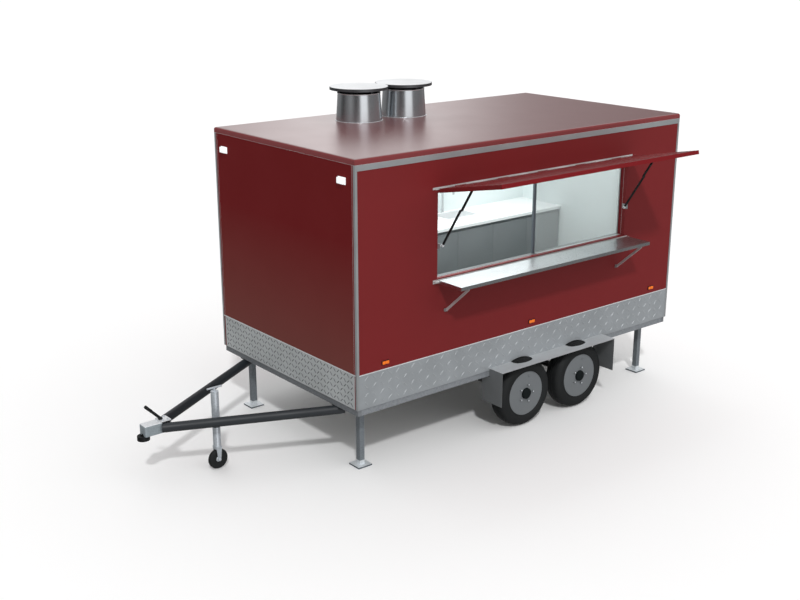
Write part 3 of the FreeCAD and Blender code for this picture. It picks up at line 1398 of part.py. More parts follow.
faults = [f"{thing.Label}: {', '.join(thing.State)}" for thing in doc.Objects
          if any(word in thing.State for word in ("Invalid", "Error"))]
for piece in sub_parts:
    if piece.Shape.isNull() or not piece.Shape.isValid():
        faults.append(f"{piece.Label}: no valid shape")
if faults:
    raise RuntimeError("\n".join(faults))

os.makedirs("parts", exist_ok=True)
for piece in sub_parts:
    piece.Shape.exportStep(f"parts/{piece.Label}.step")
    print(f"{piece.Label}: {len(piece.Shape.Solids)} solids, {piece.Shape.Volume / 1e6:.2f} litres")
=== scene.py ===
# %% [markdown]
# # A food concession trailer, dressed in Blender
# The CAD model gives every panel, rail and hinge in its true place. This lesson loads it as a
# fixed frame and adds what CAD leaves out: tread plate, tyre treads, lenses, rivets, nuts and
# the finish of each surface. Lengths are metres: +X runs to the coupler, +Y is the serving
# side, +Z is up, and the origin is the middle of the tow-ball socket.

import math

import bmesh
import bpy
from mathutils import Matrix, Vector


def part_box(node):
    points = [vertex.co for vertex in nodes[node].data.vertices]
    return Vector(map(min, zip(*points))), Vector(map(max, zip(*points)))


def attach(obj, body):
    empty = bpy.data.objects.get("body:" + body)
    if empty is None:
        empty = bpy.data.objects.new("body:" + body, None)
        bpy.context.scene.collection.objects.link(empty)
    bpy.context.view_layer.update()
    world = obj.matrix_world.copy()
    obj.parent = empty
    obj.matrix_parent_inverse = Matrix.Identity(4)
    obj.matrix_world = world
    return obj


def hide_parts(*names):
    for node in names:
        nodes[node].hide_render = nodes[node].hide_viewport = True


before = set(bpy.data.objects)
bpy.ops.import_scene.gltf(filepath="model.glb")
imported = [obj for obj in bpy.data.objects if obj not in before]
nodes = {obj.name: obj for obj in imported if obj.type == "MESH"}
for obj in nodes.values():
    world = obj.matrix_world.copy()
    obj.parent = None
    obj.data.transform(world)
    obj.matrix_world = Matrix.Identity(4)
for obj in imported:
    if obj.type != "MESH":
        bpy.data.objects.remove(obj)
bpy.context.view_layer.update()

# %% [markdown]
# ## Places read from the frame
# A piece that sits on a CAD part takes its place from that part's own corners, so the two
# can't drift apart. The wheel centres, the window and the ground all come from there.

# %% Places
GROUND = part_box("steadies")[0].z
WALL_LOW, WALL_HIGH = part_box("wall_left")
BODY_LOW, BODY_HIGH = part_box("roof")
SKIRT_LOW, SKIRT_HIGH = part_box("skirts")
BODY_MIDDLE = (BODY_LOW.x + BODY_HIGH.x) / 2
SIDE_FACE = WALL_HIGH.y
END_FACE = (WALL_HIGH.x - WALL_LOW.x) / 2
SIDES = {"left": 1, "right": -1}
WHEEL_NAMES = [f"{axle}_{side}" for axle in ("front", "rear") for side in SIDES]


def middle_of(node):
    """Centre of a CAD node's box."""
    low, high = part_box(node)
    return (low + high) / 2


WHEEL_CENTRES = {name: middle_of(f"tyre_{name}") for name in WHEEL_NAMES}
print("ground at", round(GROUND, 3), "body middle at", round(BODY_MIDDLE, 3))

# %% [markdown]
# ## Working like a modeller
# Each piece starts from a primitive and is shaped in edit mode. An operator acts on all that
# is selected, so these helpers clear the selection first and then choose faces, edges or
# points by where they are.


# %% Helpers for edit mode
def only(piece):
    """Selects one object and makes it active."""
    bpy.ops.object.select_all(action="DESELECT")
    piece.select_set(True)
    bpy.context.view_layer.objects.active = piece


def edit(piece, kind="FACE"):
    """Opens a piece in edit mode with nothing selected."""
    only(piece)
    bpy.ops.object.mode_set(mode="EDIT")
    bpy.ops.mesh.select_mode(type=kind)
    bpy.ops.mesh.select_all(action="DESELECT")


def choose(piece, kind, test):
    """In edit mode, selects the points, edges or faces that pass a test."""
    mesh = bmesh.from_edit_mesh(piece.data)
    mesh.select_mode = {kind}
    for thing in {"VERT": mesh.verts, "EDGE": mesh.edges, "FACE": mesh.faces}[kind]:
        thing.select_set(bool(test(thing)))
    mesh.select_flush_mode()
    bmesh.update_edit_mesh(piece.data)


def close_edit():
    bpy.ops.object.mode_set(mode="OBJECT")


def settle(piece, outward=True, smooth=35):
    """Applies a piece's place to its mesh, turns its faces out and shades it."""
    only(piece)
    bpy.ops.object.transform_apply(location=True, rotation=True, scale=True)
    if outward:
        edit(piece)
        bpy.ops.mesh.select_all(action="SELECT")
        bpy.ops.mesh.remove_doubles(threshold=0.00001)
        bpy.ops.mesh.normals_make_consistent(inside=False)
        close_edit()
    bpy.ops.object.shade_smooth_by_angle(angle=math.radians(smooth))
    return piece


def bevelled(name, low, high, round_by=0.001, segments=2):
    """A block between two corners with all its edges rounded."""
    low, high = Vector(low), Vector(high)
    bpy.ops.object.select_all(action="DESELECT")
    bpy.ops.mesh.primitive_cube_add(size=1, location=(low + high) / 2, scale=high - low)
    piece = bpy.context.object
    piece.name = name
    bpy.ops.object.transform_apply(location=True, rotation=True, scale=True)
    edit(piece, "EDGE")
    bpy.ops.mesh.select_all(action="SELECT")
    bpy.ops.mesh.bevel(offset=round_by, segments=segments, affect="EDGES")
    close_edit()
    return settle(piece)


TURN_TO = {"X": (0, math.radians(90), 0), "Y": (math.radians(-90), 0, 0), "Z": (0, 0, 0)}


def turned(name, outline, axis, centre, sides=48, smooth=35):
    """Spins an outline of (radius, distance along) pairs once about an axis through a centre."""
    bpy.ops.object.select_all(action="DESELECT")
    bpy.ops.mesh.primitive_plane_add(size=0.01)
    piece = bpy.context.object
    piece.name = name
    edit(piece, "VERT")
    bpy.ops.mesh.select_all(action="SELECT")
    bpy.ops.mesh.merge(type="CENTER")
    bpy.ops.transform.translate(value=(outline[0][0], 0, outline[0][1]))
    for (radius, along), (next_radius, next_along) in zip(outline, outline[1:]):
        step = (next_radius - radius, 0, next_along - along)
        bpy.ops.mesh.extrude_vertices_move(TRANSFORM_OT_translate={"value": step})
    bpy.ops.mesh.select_all(action="SELECT")
    bpy.ops.mesh.spin(steps=sides, angle=math.tau, center=(0, 0, 0), axis=(0, 0, 1))
    close_edit()
    piece.rotation_euler = TURN_TO[axis]
    piece.location = centre
    return settle(piece, smooth=smooth)


def copy_of(piece, name, matrix):
    """Another of a piece, with its own mesh, moved by a matrix."""
    twin = piece.copy()
    twin.data = piece.data.copy()
    twin.name = name
    twin.data.transform(matrix)
    bpy.context.scene.collection.objects.link(twin)
    return twin


def gather(name, pieces):
    """Joins pieces into one."""
    only(pieces[0])
    for piece in pieces[1:]:
        piece.select_set(True)
    if len(pieces) > 1:
        bpy.ops.object.join()
    pieces[0].name = name
    return pieces[0]


def moved(x=0.0, y=0.0, z=0.0):
    return Matrix.Translation((x, y, z))


def spun(angle, axis, centre=(0, 0, 0)):
    centre = Vector(centre)
    return Matrix.Translation(centre) @ Matrix.Rotation(angle, 4, axis) @ Matrix.Translation(-centre)


# %% [markdown]
# ## Shared surface effects
# Real finishes share a few habits: paint has a faint orange peel, metal is brushed one way,
# zinc crystals catch the light, and road dust gathers low down. Each habit is one node group
# with named inputs, so every material can use it with its own strength.


# %% Node group helpers
def colour(red, green, blue):
    """An sRGB colour, 0 to 255 a channel, as the linear value Blender works in."""
    linear = [(v / 255 / 12.92) if v <= 10 else ((v / 255 + 0.055) / 1.055) ** 2.4 for v in (red, green, blue)]
    return (*linear, 1.0)


class Group:
    """A shader node group being built: sockets, nodes and the links between them."""

    def __init__(self, name, inputs, outputs):
        self.tree = bpy.data.node_groups.new(name, "ShaderNodeTree")
        for label, (kind, start) in inputs.items():
            socket = self.tree.interface.new_socket(label, in_out="INPUT", socket_type=f"NodeSocket{kind}")
            socket.default_value = start
        for label, kind in outputs.items():
            self.tree.interface.new_socket(label, in_out="OUTPUT", socket_type=f"NodeSocket{kind}")
        self.inputs = self.tree.nodes.new("NodeGroupInput").outputs
        self.outputs = self.tree.nodes.new("NodeGroupOutput").inputs

    def node(self, kind, **settings):
        made = self.tree.nodes.new(f"ShaderNode{kind}")
        for setting, value in settings.items():
            setattr(made, setting, value)
        return made

    def link(self, start, end):
        self.tree.links.new(start, end)

    def place(self, stretch):
        """Object coordinates, stretched by a vector or by a socket."""
        where = self.node("TexCoord").outputs["Object"]
        mapping = self.node("Mapping")
        self.link(where, mapping.inputs["Vector"])
        if isinstance(stretch, tuple):
            mapping.inputs["Scale"].default_value = stretch
        else:
            self.link(stretch, mapping.inputs["Scale"])
        return mapping.outputs["Vector"]

    def noise(self, vector, scale, detail=3.0):
        made = self.node("TexNoise")
        self.link(vector, made.inputs["Vector"])
        made.inputs["Detail"].default_value = detail
        if isinstance(scale, (int, float)):
            made.inputs["Scale"].default_value = scale
        else:
            self.link(scale, made.inputs["Scale"])
        return made.outputs["Fac"]

    def spread(self, value, low, high, to_low=0.0, to_high=1.0):
        """Stretches a range of values; a limit may be a socket."""
        made = self.node("MapRange")
        self.link(value, made.inputs["Value"])
        for label, limit in (("From Min", low), ("From Max", high), ("To Min", to_low), ("To Max", to_high)):
            if isinstance(limit, (int, float)):
                made.inputs[label].default_value = limit
            else:
                self.link(limit, made.inputs[label])
        return made.outputs["Result"]

    def mix(self, amount, first, second):
        made = self.node("Mix", data_type="RGBA")
        self.link(amount, made.inputs["Factor"])
        self.link(first, made.inputs[6])
        self.link(second, made.inputs[7])
        return made.outputs[2]

    def times(self, first, second):
        made = self.node("Math", operation="MULTIPLY")
        for value, socket in ((first, made.inputs[0]), (second, made.inputs[1])):
            if isinstance(value, (int, float)):
                socket.default_value = value
            else:
                self.link(value, socket)
        return made.outputs[0]

    def bump(self, height, strength, distance):
        made = self.node("Bump")
        made.inputs["Distance"].default_value = distance
        self.link(height, made.inputs["Height"])
        self.link(strength, made.inputs["Strength"])
        return made.outputs["Normal"]


# %% [markdown]
# ### Paint, brushed metal and zinc
# Paint varies a little in tone and carries a fine ripple. Brushed metal is noise stretched
# along one axis. Zinc is a cell pattern whose cells differ slightly in tone and roughness.


# %% Paint film
paint = Group("paint_film",
              {"Colour": ("Color", (0.5, 0.5, 0.5, 1)), "Tone shift": ("Float", 0.06),
               "Roughness": ("Float", 0.3), "Peel": ("Float", 0.1)},
              {"Colour": "Color", "Roughness": "Float", "Normal": "Vector"})
clouds = paint.noise(paint.place((1, 1, 1)), 2.3, 4.0)
fine = paint.noise(paint.place((1, 1, 1)), 340.0, 2.0)
darker = paint.node("HueSaturation")
paint.link(paint.inputs["Colour"], darker.inputs["Color"])
shift = paint.node("Math", operation="SUBTRACT")
shift.inputs[0].default_value = 1.0
paint.link(paint.inputs["Tone shift"], shift.inputs[1])
paint.link(shift.outputs[0], darker.inputs["Value"])
paint.link(paint.mix(paint.spread(clouds, 0.35, 0.65), paint.inputs["Colour"], darker.outputs["Color"]),
           paint.outputs["Colour"])
rough_high = paint.times(paint.inputs["Roughness"], 1.25)
paint.link(paint.spread(clouds, 0.3, 0.7, paint.inputs["Roughness"], rough_high), paint.outputs["Roughness"])
paint.link(paint.bump(fine, paint.inputs["Peel"], 0.0002), paint.outputs["Normal"])

# %% Brushed grain
brushed = Group("brushed_grain",
                {"Colour": ("Color", (0.6, 0.6, 0.6, 1)), "Stretch": ("Vector", (2, 60, 60)),
                 "Roughness": ("Float", 0.35), "Depth": ("Float", 0.25)},
                {"Colour": "Color", "Roughness": "Float", "Normal": "Vector"})
grain = brushed.noise(brushed.place(brushed.inputs["Stretch"]), 22.0, 5.0)
smear = brushed.noise(brushed.place((1, 1, 1)), 3.5, 3.0)
dull = brushed.node("HueSaturation")
dull.inputs["Value"].default_value = 0.88
brushed.link(brushed.inputs["Colour"], dull.inputs["Color"])
brushed.link(brushed.mix(brushed.spread(smear, 0.35, 0.7), brushed.inputs["Colour"], dull.outputs["Color"]),
             brushed.outputs["Colour"])
rough_low = brushed.times(brushed.inputs["Roughness"], 0.8)
rough_high = brushed.times(brushed.inputs["Roughness"], 1.3)
brushed.link(brushed.spread(grain, 0.3, 0.7, rough_low, rough_high), brushed.outputs["Roughness"])
brushed.link(brushed.bump(grain, brushed.inputs["Depth"], 0.0003), brushed.outputs["Normal"])

# %% Zinc spangle
zinc = Group("zinc_spangle",
             {"Colour": ("Color", (0.6, 0.6, 0.6, 1)), "Cell scale": ("Float", 90.0),
              "Roughness": ("Float", 0.45)},
             {"Colour": "Color", "Roughness": "Float", "Normal": "Vector"})
cells = zinc.node("TexVoronoi")
zinc.link(zinc.place((1, 1, 1)), cells.inputs["Vector"])
zinc.link(zinc.inputs["Cell scale"], cells.inputs["Scale"])
cell_tone = zinc.node("SeparateColor")
zinc.link(cells.outputs["Color"], cell_tone.inputs["Color"])
tone = cell_tone.outputs["Red"]
pale = zinc.node("HueSaturation")
pale.inputs["Value"].default_value = 0.82
zinc.link(zinc.inputs["Colour"], pale.inputs["Color"])
zinc.link(zinc.mix(tone, zinc.inputs["Colour"], pale.outputs["Color"]), zinc.outputs["Colour"])
zinc.link(zinc.spread(tone, 0.0, 1.0, zinc.times(zinc.inputs["Roughness"], 0.8), zinc.inputs["Roughness"]),
          zinc.outputs["Roughness"])
ripple = zinc.noise(zinc.place((1, 1, 1)), 60.0, 3.0)
some = zinc.node("Value")
some.outputs[0].default_value = 0.15
zinc.link(zinc.bump(ripple, some.outputs[0], 0.0004), zinc.outputs["Normal"])

# %% [markdown]
# ### Road dust
# Dust is thickest near the ground and breaks up in patches. The group takes a finish's colour
# and roughness and gives them back with the dust laid over them, by height above the ground.

# %% Road dust
dust = Group("road_dust",
             {"Colour": ("Color", (0.5, 0.5, 0.5, 1)), "Roughness": ("Float", 0.4), "Amount": ("Float", 0.3),
              "Reach": ("Float", 0.6), "Evenness": ("Float", 0.0)},
             {"Colour": "Color", "Roughness": "Float"})
split = dust.node("SeparateXYZ")
dust.link(dust.node("TexCoord").outputs["Object"], split.inputs["Vector"])
top_of_dust = dust.node("Math", operation="ADD")
top_of_dust.inputs[0].default_value = GROUND
dust.link(dust.inputs["Reach"], top_of_dust.inputs[1])
low_down = dust.spread(split.outputs["Z"], top_of_dust.outputs[0], GROUND)
patches = dust.spread(dust.noise(dust.place((1, 1, 1)), 9.0, 6.0), 0.35, 0.75, dust.inputs["Evenness"])
cover = dust.times(dust.times(low_down, patches), dust.inputs["Amount"])
earth = dust.node("RGB")
earth.outputs[0].default_value = colour(150, 140, 126)
dust.link(dust.mix(cover, dust.inputs["Colour"], earth.outputs[0]), dust.outputs["Colour"])
dust.link(dust.spread(cover, 0.0, 1.0, dust.inputs["Roughness"], 0.9), dust.outputs["Roughness"])
print("node groups:", [group.name for group in bpy.data.node_groups])

# %% [markdown]
# ## Materials
# A material keeps its own Principled shader and puts a surface group in front of it. The
# recipe below names the group, its values and how dusty the finish gets; what the shader
# holds all over, such as metalness or a clear coat, is set on the shader itself.


# %% Material recipe
def finish(name, group, values, metallic=0.0, coat=0.0, dusty=0.0, reach=0.6, even=0.0, more=None):
    """A Principled material fed by a surface group and, where it is dusty, by road dust."""
    made = bpy.data.materials.new(name)
    made.use_nodes = True
    tree = made.node_tree
    main = tree.nodes["Principled BSDF"]
    surface = tree.nodes.new("ShaderNodeGroup")
    surface.node_tree = group.tree
    for label, value in values.items():
        surface.inputs[label].default_value = value
    source = surface
    if dusty:
        source = tree.nodes.new("ShaderNodeGroup")
        source.node_tree = dust.tree
        source.inputs["Amount"].default_value = dusty
        source.inputs["Reach"].default_value = reach
        source.inputs["Evenness"].default_value = even
        tree.links.new(surface.outputs["Colour"], source.inputs["Colour"])
        tree.links.new(surface.outputs["Roughness"], source.inputs["Roughness"])
    tree.links.new(source.outputs["Colour"], main.inputs["Base Color"])
    tree.links.new(source.outputs["Roughness"], main.inputs["Roughness"])
    tree.links.new(surface.outputs["Normal"], main.inputs["Normal"])
    main.inputs["Metallic"].default_value = metallic
    main.inputs["Coat Weight"].default_value = coat
    main.inputs["Coat Roughness"].default_value = 0.08
    for label, value in (more or {}).items():
        main.inputs[label].default_value = value
    made.diffuse_color = values.get("Colour", (0.5, 0.5, 0.5, 1))
    return made


def dress(material, *names):
    """Gives CAD nodes a material in place of the plain one they came with."""
    for name in names:
        nodes[name].data.materials.clear()
        nodes[name].data.materials.append(material)


# %% Painted finishes
RED = colour(112, 32, 34)
# the side walls' red is painted lighter than the end walls': painted light on the sunlit serving side
side_red_lightened = finish("side_body_paint_lightened", paint, {"Colour": colour(122, 36, 38), "Tone shift": 0.04,
                                         "Roughness": 0.42, "Peel": 0.05},
                   more={"Specular IOR Level": 0.16})
# the end walls grade evenly lighter and browner towards the bottom, over 2 m of height
end_paint = finish("end_paint", paint, {"Colour": RED, "Tone shift": 0.04, "Roughness": 0.6, "Peel": 0.05},
                   dusty=0.3, reach=2.0, even=1.0, more={"Specular IOR Level": 0.03})
hatch_paint = finish("hatch_paint", paint, {"Colour": colour(120, 36, 38), "Tone shift": 0.04,
                                            "Roughness": 0.42,
                                            "Peel": 0.0},
                     coat=1.0, more={"Specular IOR Level": 0.1, "Coat IOR": 1.4, "Coat Roughness": 0.24})
roof_paint = finish("roof_paint", paint, {"Colour": colour(112, 34, 36), "Tone shift": 0.05,
                                          "Roughness": 0.36,
                                          "Peel": 0.0}, coat=1.0, more={"IOR": 1.9, "Coat IOR": 1.9,
                                                                        "Coat Roughness": 0.3})
arm_paint = finish("drawbar_paint", paint, {"Colour": colour(33, 38, 43), "Tone shift": 0.12,
                                            "Roughness": 0.42,
                                            "Peel": 0.1}, dusty=0.04, more={"Specular IOR Level": 0.4})
axle_paint = finish("axle_paint", paint, {"Colour": colour(34, 36, 38), "Tone shift": 0.2, "Roughness": 0.6,
                                          "Peel": 0.2}, dusty=0.3)
wheel_paint = finish("wheel_paint", paint, {"Colour": colour(116, 120, 123), "Tone shift": 0.04,
                                            "Roughness": 0.5, "Peel": 0.06}, dusty=0.05, reach=0.4,
                     more={"Specular IOR Level": 0.25})
worktop_finish = finish("worktop_laminate", paint, {"Colour": colour(240, 242, 242), "Tone shift": 0.02,
                                                    "Roughness": 0.3, "Peel": 0.04})
cabinet_finish = finish("cabinet_board", paint, {"Colour": colour(115, 119, 121), "Tone shift": 0.03,
                                                 "Roughness": 0.6, "Peel": 0.05},
                        more={"Specular IOR Level": 0.2})
vinyl = finish("floor_vinyl", paint, {"Colour": colour(150, 150, 146), "Tone shift": 0.18, "Roughness": 0.55,
                                      "Peel": 0.3}, dusty=0.1)
iron = finish("black_iron", paint, {"Colour": colour(20, 22, 23), "Tone shift": 0.2, "Roughness": 0.5,
                                    "Peel": 0.15}, more={"Specular IOR Level": 0.25})
cap_paint = finish("hub_cap_black", paint, {"Colour": colour(20, 26, 27), "Tone shift": 0.1, "Roughness": 0.6,
                                            "Peel": 0.05}, more={"Specular IOR Level": 0.12})

# %% Metal finishes
trim_metal = finish("trim_aluminium", brushed, {"Colour": colour(164, 168, 170), "Stretch": (60, 60, 3),
                                                "Roughness": 0.46, "Depth": 0.08}, metallic=0.35)
rod_metal = finish("hinge_rod_metal", brushed, {"Colour": colour(205, 205, 205), "Stretch": (3, 60, 60),
                                                "Roughness": 0.45, "Depth": 0.05}, metallic=0.3)
# the end plates are painted lighter than the side plates: painted light that makes up for the dimmer light on
# the ends
end_tread_lightened = finish("end_tread_aluminium_lightened", brushed, {"Colour": colour(206, 210, 211), "Stretch": (6, 6, 40),
                                                  "Roughness": 0.5, "Depth": 0.08}, metallic=0.3, dusty=0.05,
                     reach=1.1)
# the side marks are paler than their plate: a painted highlight
mark_bright = finish("tread_mark_bright", brushed, {"Colour": colour(178, 183, 186), "Stretch": (9, 9, 9),
                                                    "Roughness": 0.42, "Depth": 0.05}, metallic=0.3)
# the end marks are darker than their plate: a painted shade
mark_painted_shade = finish("tread_mark_painted_shade", brushed, {"Colour": colour(104, 109, 111), "Stretch": (9, 9, 9),
                                                "Roughness": 0.5, "Depth": 0.05}, metallic=0.3)
rail_metal = finish("rail_zinc", zinc, {"Colour": colour(150, 155, 160), "Cell scale": 70.0,
                                        "Roughness": 0.55},
                    metallic=0.25, dusty=0.05)
end_rail_metal = finish("end_rail_zinc", zinc, {"Colour": colour(132, 136, 140), "Cell scale": 70.0,
                                                "Roughness": 0.55}, metallic=0.25, dusty=0.05)
# the deck's pale tone is partly a painted highlight
fender_metal = finish("fender_aluminium", brushed, {"Colour": colour(225, 228, 230), "Stretch": (4, 60, 60),
                                                    "Roughness": 0.35, "Depth": 0.05}, metallic=0.6, dusty=0.04)
pale_zinc = finish("bright_zinc", zinc, {"Colour": colour(214, 219, 224), "Cell scale": 160.0,
                                         "Roughness": 0.45},
                   metallic=0.3)
leg_metal = finish("leg_zinc", zinc, {"Colour": colour(134, 141, 147), "Cell scale": 120.0, "Roughness": 0.5},
                   metallic=0.3)
mast_metal = finish("mast_zinc", zinc, {"Colour": colour(212, 219, 226), "Cell scale": 120.0,
                                        "Roughness": 0.4},
                    metallic=0.45)
coupler_metal = finish("coupler_zinc", zinc, {"Colour": colour(162, 173, 179), "Cell scale": 160.0,
                                              "Roughness": 0.45}, metallic=0.3)
nut_metal = finish("nut_zinc", zinc, {"Colour": colour(128, 132, 135), "Cell scale": 300.0,
                                      "Roughness": 0.45},
                   metallic=0.3)
shelf_metal = finish("shelf_stainless", brushed, {"Colour": colour(192, 194, 196), "Stretch": (3, 70, 70),
                                                  "Roughness": 0.3, "Depth": 0.06}, metallic=1.0)
frame_metal = finish("window_frame_metal", brushed, {"Colour": colour(196, 206, 206), "Stretch": (3, 40, 40),
                                                     "Roughness": 0.45, "Depth": 0.02}, metallic=0.2)
stainless = finish("brushed_stainless", brushed, {"Colour": colour(196, 198, 200), "Stretch": (3, 70, 70),
                                                  "Roughness": 0.34, "Depth": 0.1}, metallic=0.8)
sink_metal = finish("sink_satin", brushed, {"Colour": colour(232, 234, 235), "Stretch": (3, 70, 70),
                                            "Roughness": 0.5, "Depth": 0.04}, metallic=0.2)
brace_metal = finish("brace_aluminium", brushed, {"Colour": colour(196, 190, 190), "Stretch": (60, 10, 10),
                                                  "Roughness": 0.45, "Depth": 0.08}, metallic=0.2)
flue_metal = finish("polished_flue", brushed, {"Colour": colour(204, 208, 212), "Stretch": (30, 30, 2),
                                               "Roughness": 0.2, "Depth": 0.0}, metallic=1.0)
# near white on the cap crowns and stack beads: a painted highlight
cap_white_highlight = finish("cap_top_painted_highlight", brushed, {"Colour": colour(240, 242, 244), "Stretch": (4, 4, 4),
                                              "Roughness": 0.4, "Depth": 0.02}, metallic=0.6)
# the cap rims are painted dark: a painted shade
cap_rim_shade = finish("cap_rim_painted_shade", brushed, {"Colour": colour(96, 99, 102), "Stretch": (4, 4, 20),
                                             "Roughness": 0.4, "Depth": 0.02}, metallic=0.8)
print("materials:", len(bpy.data.materials))

# %% [markdown]
# ### Walls that are two things at once
# Each wall is one sandwich panel: glossy red sheet outside, pale hygienic lining inside. Both
# belong to one CAD node, so the shader chooses by how far a point lies from a middle. The same
# trick pales the steadies' foot plates, the skirt's cap and the window frame's plain bars. It also
# paints light and shade: a painted shade on the foot plates' edges and the fender flaps, a painted
# highlight on the coupler housing's top, and skirt end plates painted lighter than the sides.


# %% Two-zone materials
def zoned(name, outer, inner, axis, centre, limit):
    """Copies a finish and gives what lies within a limit of a centre, on one axis, other values."""
    made = outer.copy()
    made.name = name
    tree = made.node_tree
    main = tree.nodes["Principled BSDF"]
    where = tree.nodes.new("ShaderNodeSeparateXYZ")
    tree.links.new(tree.nodes.new("ShaderNodeTexCoord").outputs["Object"], where.inputs["Vector"])
    test = tree.nodes.new("ShaderNodeMath")
    test.operation = "COMPARE"
    tree.links.new(where.outputs[axis], test.inputs[0])
    test.inputs[1].default_value = centre
    test.inputs[2].default_value = limit
    group, values = inner
    surface = tree.nodes.new("ShaderNodeGroup")
    surface.node_tree = group.tree
    for label, value in values.items():
        surface.inputs[label].default_value = value
    kinds = {"Base Color": ("RGBA", 6, 7, 2), "Roughness": ("FLOAT", 2, 3, 0), "Normal": ("VECTOR", 4, 5, 1)}
    for label, (kind, first, second, result) in kinds.items():
        source = main.inputs[label].links[0].from_socket
        join = tree.nodes.new("ShaderNodeMix")
        join.data_type = kind
        tree.links.new(test.outputs[0], join.inputs["Factor"])
        tree.links.new(source, join.inputs[first])
        tree.links.new(surface.outputs[label.replace("Base Color", "Colour")], join.inputs[second])
        tree.links.new(join.outputs[result], main.inputs[label])
    gloss = main.inputs["Coat Weight"]
    if gloss.default_value:
        bare = tree.nodes.new("ShaderNodeMath")
        bare.operation = "SUBTRACT"
        bare.use_clamp = True
        bare.inputs[0].default_value = gloss.default_value
        if gloss.links:
            tree.links.new(gloss.links[0].from_socket, bare.inputs[0])
        tree.links.new(test.outputs[0], bare.inputs[1])
        tree.links.new(bare.outputs[0], gloss)
    return made


LINING = (paint, {"Colour": colour(222, 230, 230), "Tone shift": 0.02, "Roughness": 0.45, "Peel": 0.06})
EDGE_RED = (paint, {"Colour": colour(122, 30, 34), "Tone shift": 0.02, "Roughness": 1.0, "Peel": 0.0})
FOOT = (zinc, {"Colour": colour(234, 239, 243), "Cell scale": 120.0, "Roughness": 0.5})
# the foot plates' edges are painted dark: a painted shade
FOOT_EDGE_SHADE = (zinc, {"Colour": colour(92, 102, 110), "Cell scale": 120.0, "Roughness": 0.5})
SIDE_PLATE = (brushed, {"Colour": colour(167, 172, 176), "Stretch": (6, 6, 40), "Roughness": 0.5,
                        "Depth": 0.08})
# the housing's top face is painted near white: a painted highlight on its sunlit top
HOUSING_TOP_HIGHLIGHT = (zinc, {"Colour": colour(240, 243, 246), "Cell scale": 160.0, "Roughness": 0.4})
OPEN_BAR = (brushed, {"Colour": colour(112, 116, 118), "Stretch": (3, 40, 40), "Roughness": 0.5,
                      "Depth": 0.02})
# the flaps are painted darker than the deck: a painted shade
FLAP_SHADE = (brushed, {"Colour": colour(138, 141, 143), "Stretch": (4, 60, 60), "Roughness": 0.5, "Depth": 0.08})
CAP = (brushed, {"Colour": colour(236, 240, 242), "Stretch": (3, 3, 60), "Roughness": 0.45, "Depth": 0.05})
STILE = (brushed, {"Colour": colour(104, 112, 120), "Stretch": (60, 60, 6), "Roughness": 0.45, "Depth": 0.05})
SKIN = 0.0385
side_wall_paint = zoned("side_wall_paint", side_red_lightened, LINING, "Y", 0.0, SIDE_FACE - SKIN)
end_wall_paint = zoned("end_wall_paint", end_paint, LINING, "X", BODY_MIDDLE, END_FACE - SKIN)
ROOF_EDGE = (BODY_HIGH.z - BODY_LOW.z - 0.004) / 2
roof_edged = zoned("roof_edged", roof_paint, EDGE_RED, "Z", BODY_LOW.z + ROOF_EDGE, ROOF_EDGE)
roof_two_sided = zoned("roof_two_sided", roof_edged, LINING, "Z", BODY_LOW.z, 0.001)
foot_metal = zoned("foot_zinc", leg_metal, FOOT, "Z", GROUND, 0.05)
steady_metal = zoned("steady_zinc", foot_metal, FOOT_EDGE_SHADE, "Z", GROUND, 0.0125)
FENDER_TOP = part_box("fender_left")[1].z
flap_metal = zoned("fender_and_painted_flap_shade", fender_metal, FLAP_SHADE, "Z", FENDER_TOP - 0.204, 0.2)
# the ends keep the plate painted lighter; the sides get the plainer plate
side_plate_metal = zoned("side_plate", end_tread_lightened, SIDE_PLATE, "X", BODY_MIDDLE, END_FACE - 0.006)
skirt_metal = zoned("skirt_aluminium", side_plate_metal, CAP, "Z", SKIRT_HIGH.z, 0.0082)
HOUSING_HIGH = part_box("coupler_housing")[1].z
housing_metal = zoned("coupler_housing_zinc", coupler_metal, HOUSING_TOP_HIGHLIGHT, "Z", HOUSING_HIGH - 0.005, 0.008)
HATCH_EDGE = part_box("hatch")[1].y
hatch_finish = zoned("hatch_two_tone", hatch_paint, EDGE_RED, "Y", HATCH_EDGE, 0.0095)
stile_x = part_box("window_glass")[1].x + 0.0003
FRAME_LOW, FRAME_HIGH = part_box("window_frame")
open_half = (FRAME_HIGH.x - stile_x) / 2
frame_open = zoned("window_frame_open", frame_metal, OPEN_BAR, "X", stile_x + open_half, open_half + 0.001)
frame_jamb = zoned("window_frame_jamb", frame_open, EDGE_RED, "X", FRAME_LOW.x, 0.0335)
frame_finish = zoned("window_frame_finish", frame_jamb, STILE, "X", stile_x, 0.0145)

# %% Put the finishes on the CAD nodes
dress(side_wall_paint, "wall_left", "wall_right", "entrance_door")
dress(end_wall_paint, "wall_front", "wall_rear")
dress(roof_two_sided, "roof")
dress(hatch_finish, "hatch")
dress(skirt_metal, "skirts")
dress(trim_metal, "edge_trims", "door_hinges", "window_brackets")
dress(rod_metal, "hatch_hinge", "shelf_hinge")
dress(rail_metal, "main_rails", "side_rails")
dress(end_rail_metal, "cross_members")
dress(arm_paint, "drawbar")
dress(housing_metal, "coupler_housing")
dress(mast_metal, "jockey_mast", "jockey_fork")
dress(iron, "coupler_socket", "coupler_lever", "stay_lowers", "stay_uppers")
dress(steady_metal, "steadies")
dress(axle_paint, "axle_front", "axle_rear", "leaf_springs")
dress(flap_metal, "fender_left", "fender_right")
dress(vinyl, "floor")
dress(frame_finish, "window_frame")
dress(sink_metal, "sink")
dress(stainless, "tap")
dress(shelf_metal, "shelf")
dress(brace_metal, "braces")
dress(worktop_finish, "worktop")
dress(cabinet_finish, "cabinet")
dress(flue_metal, "vent_stacks")
dress(cap_rim_shade, "vent_caps")
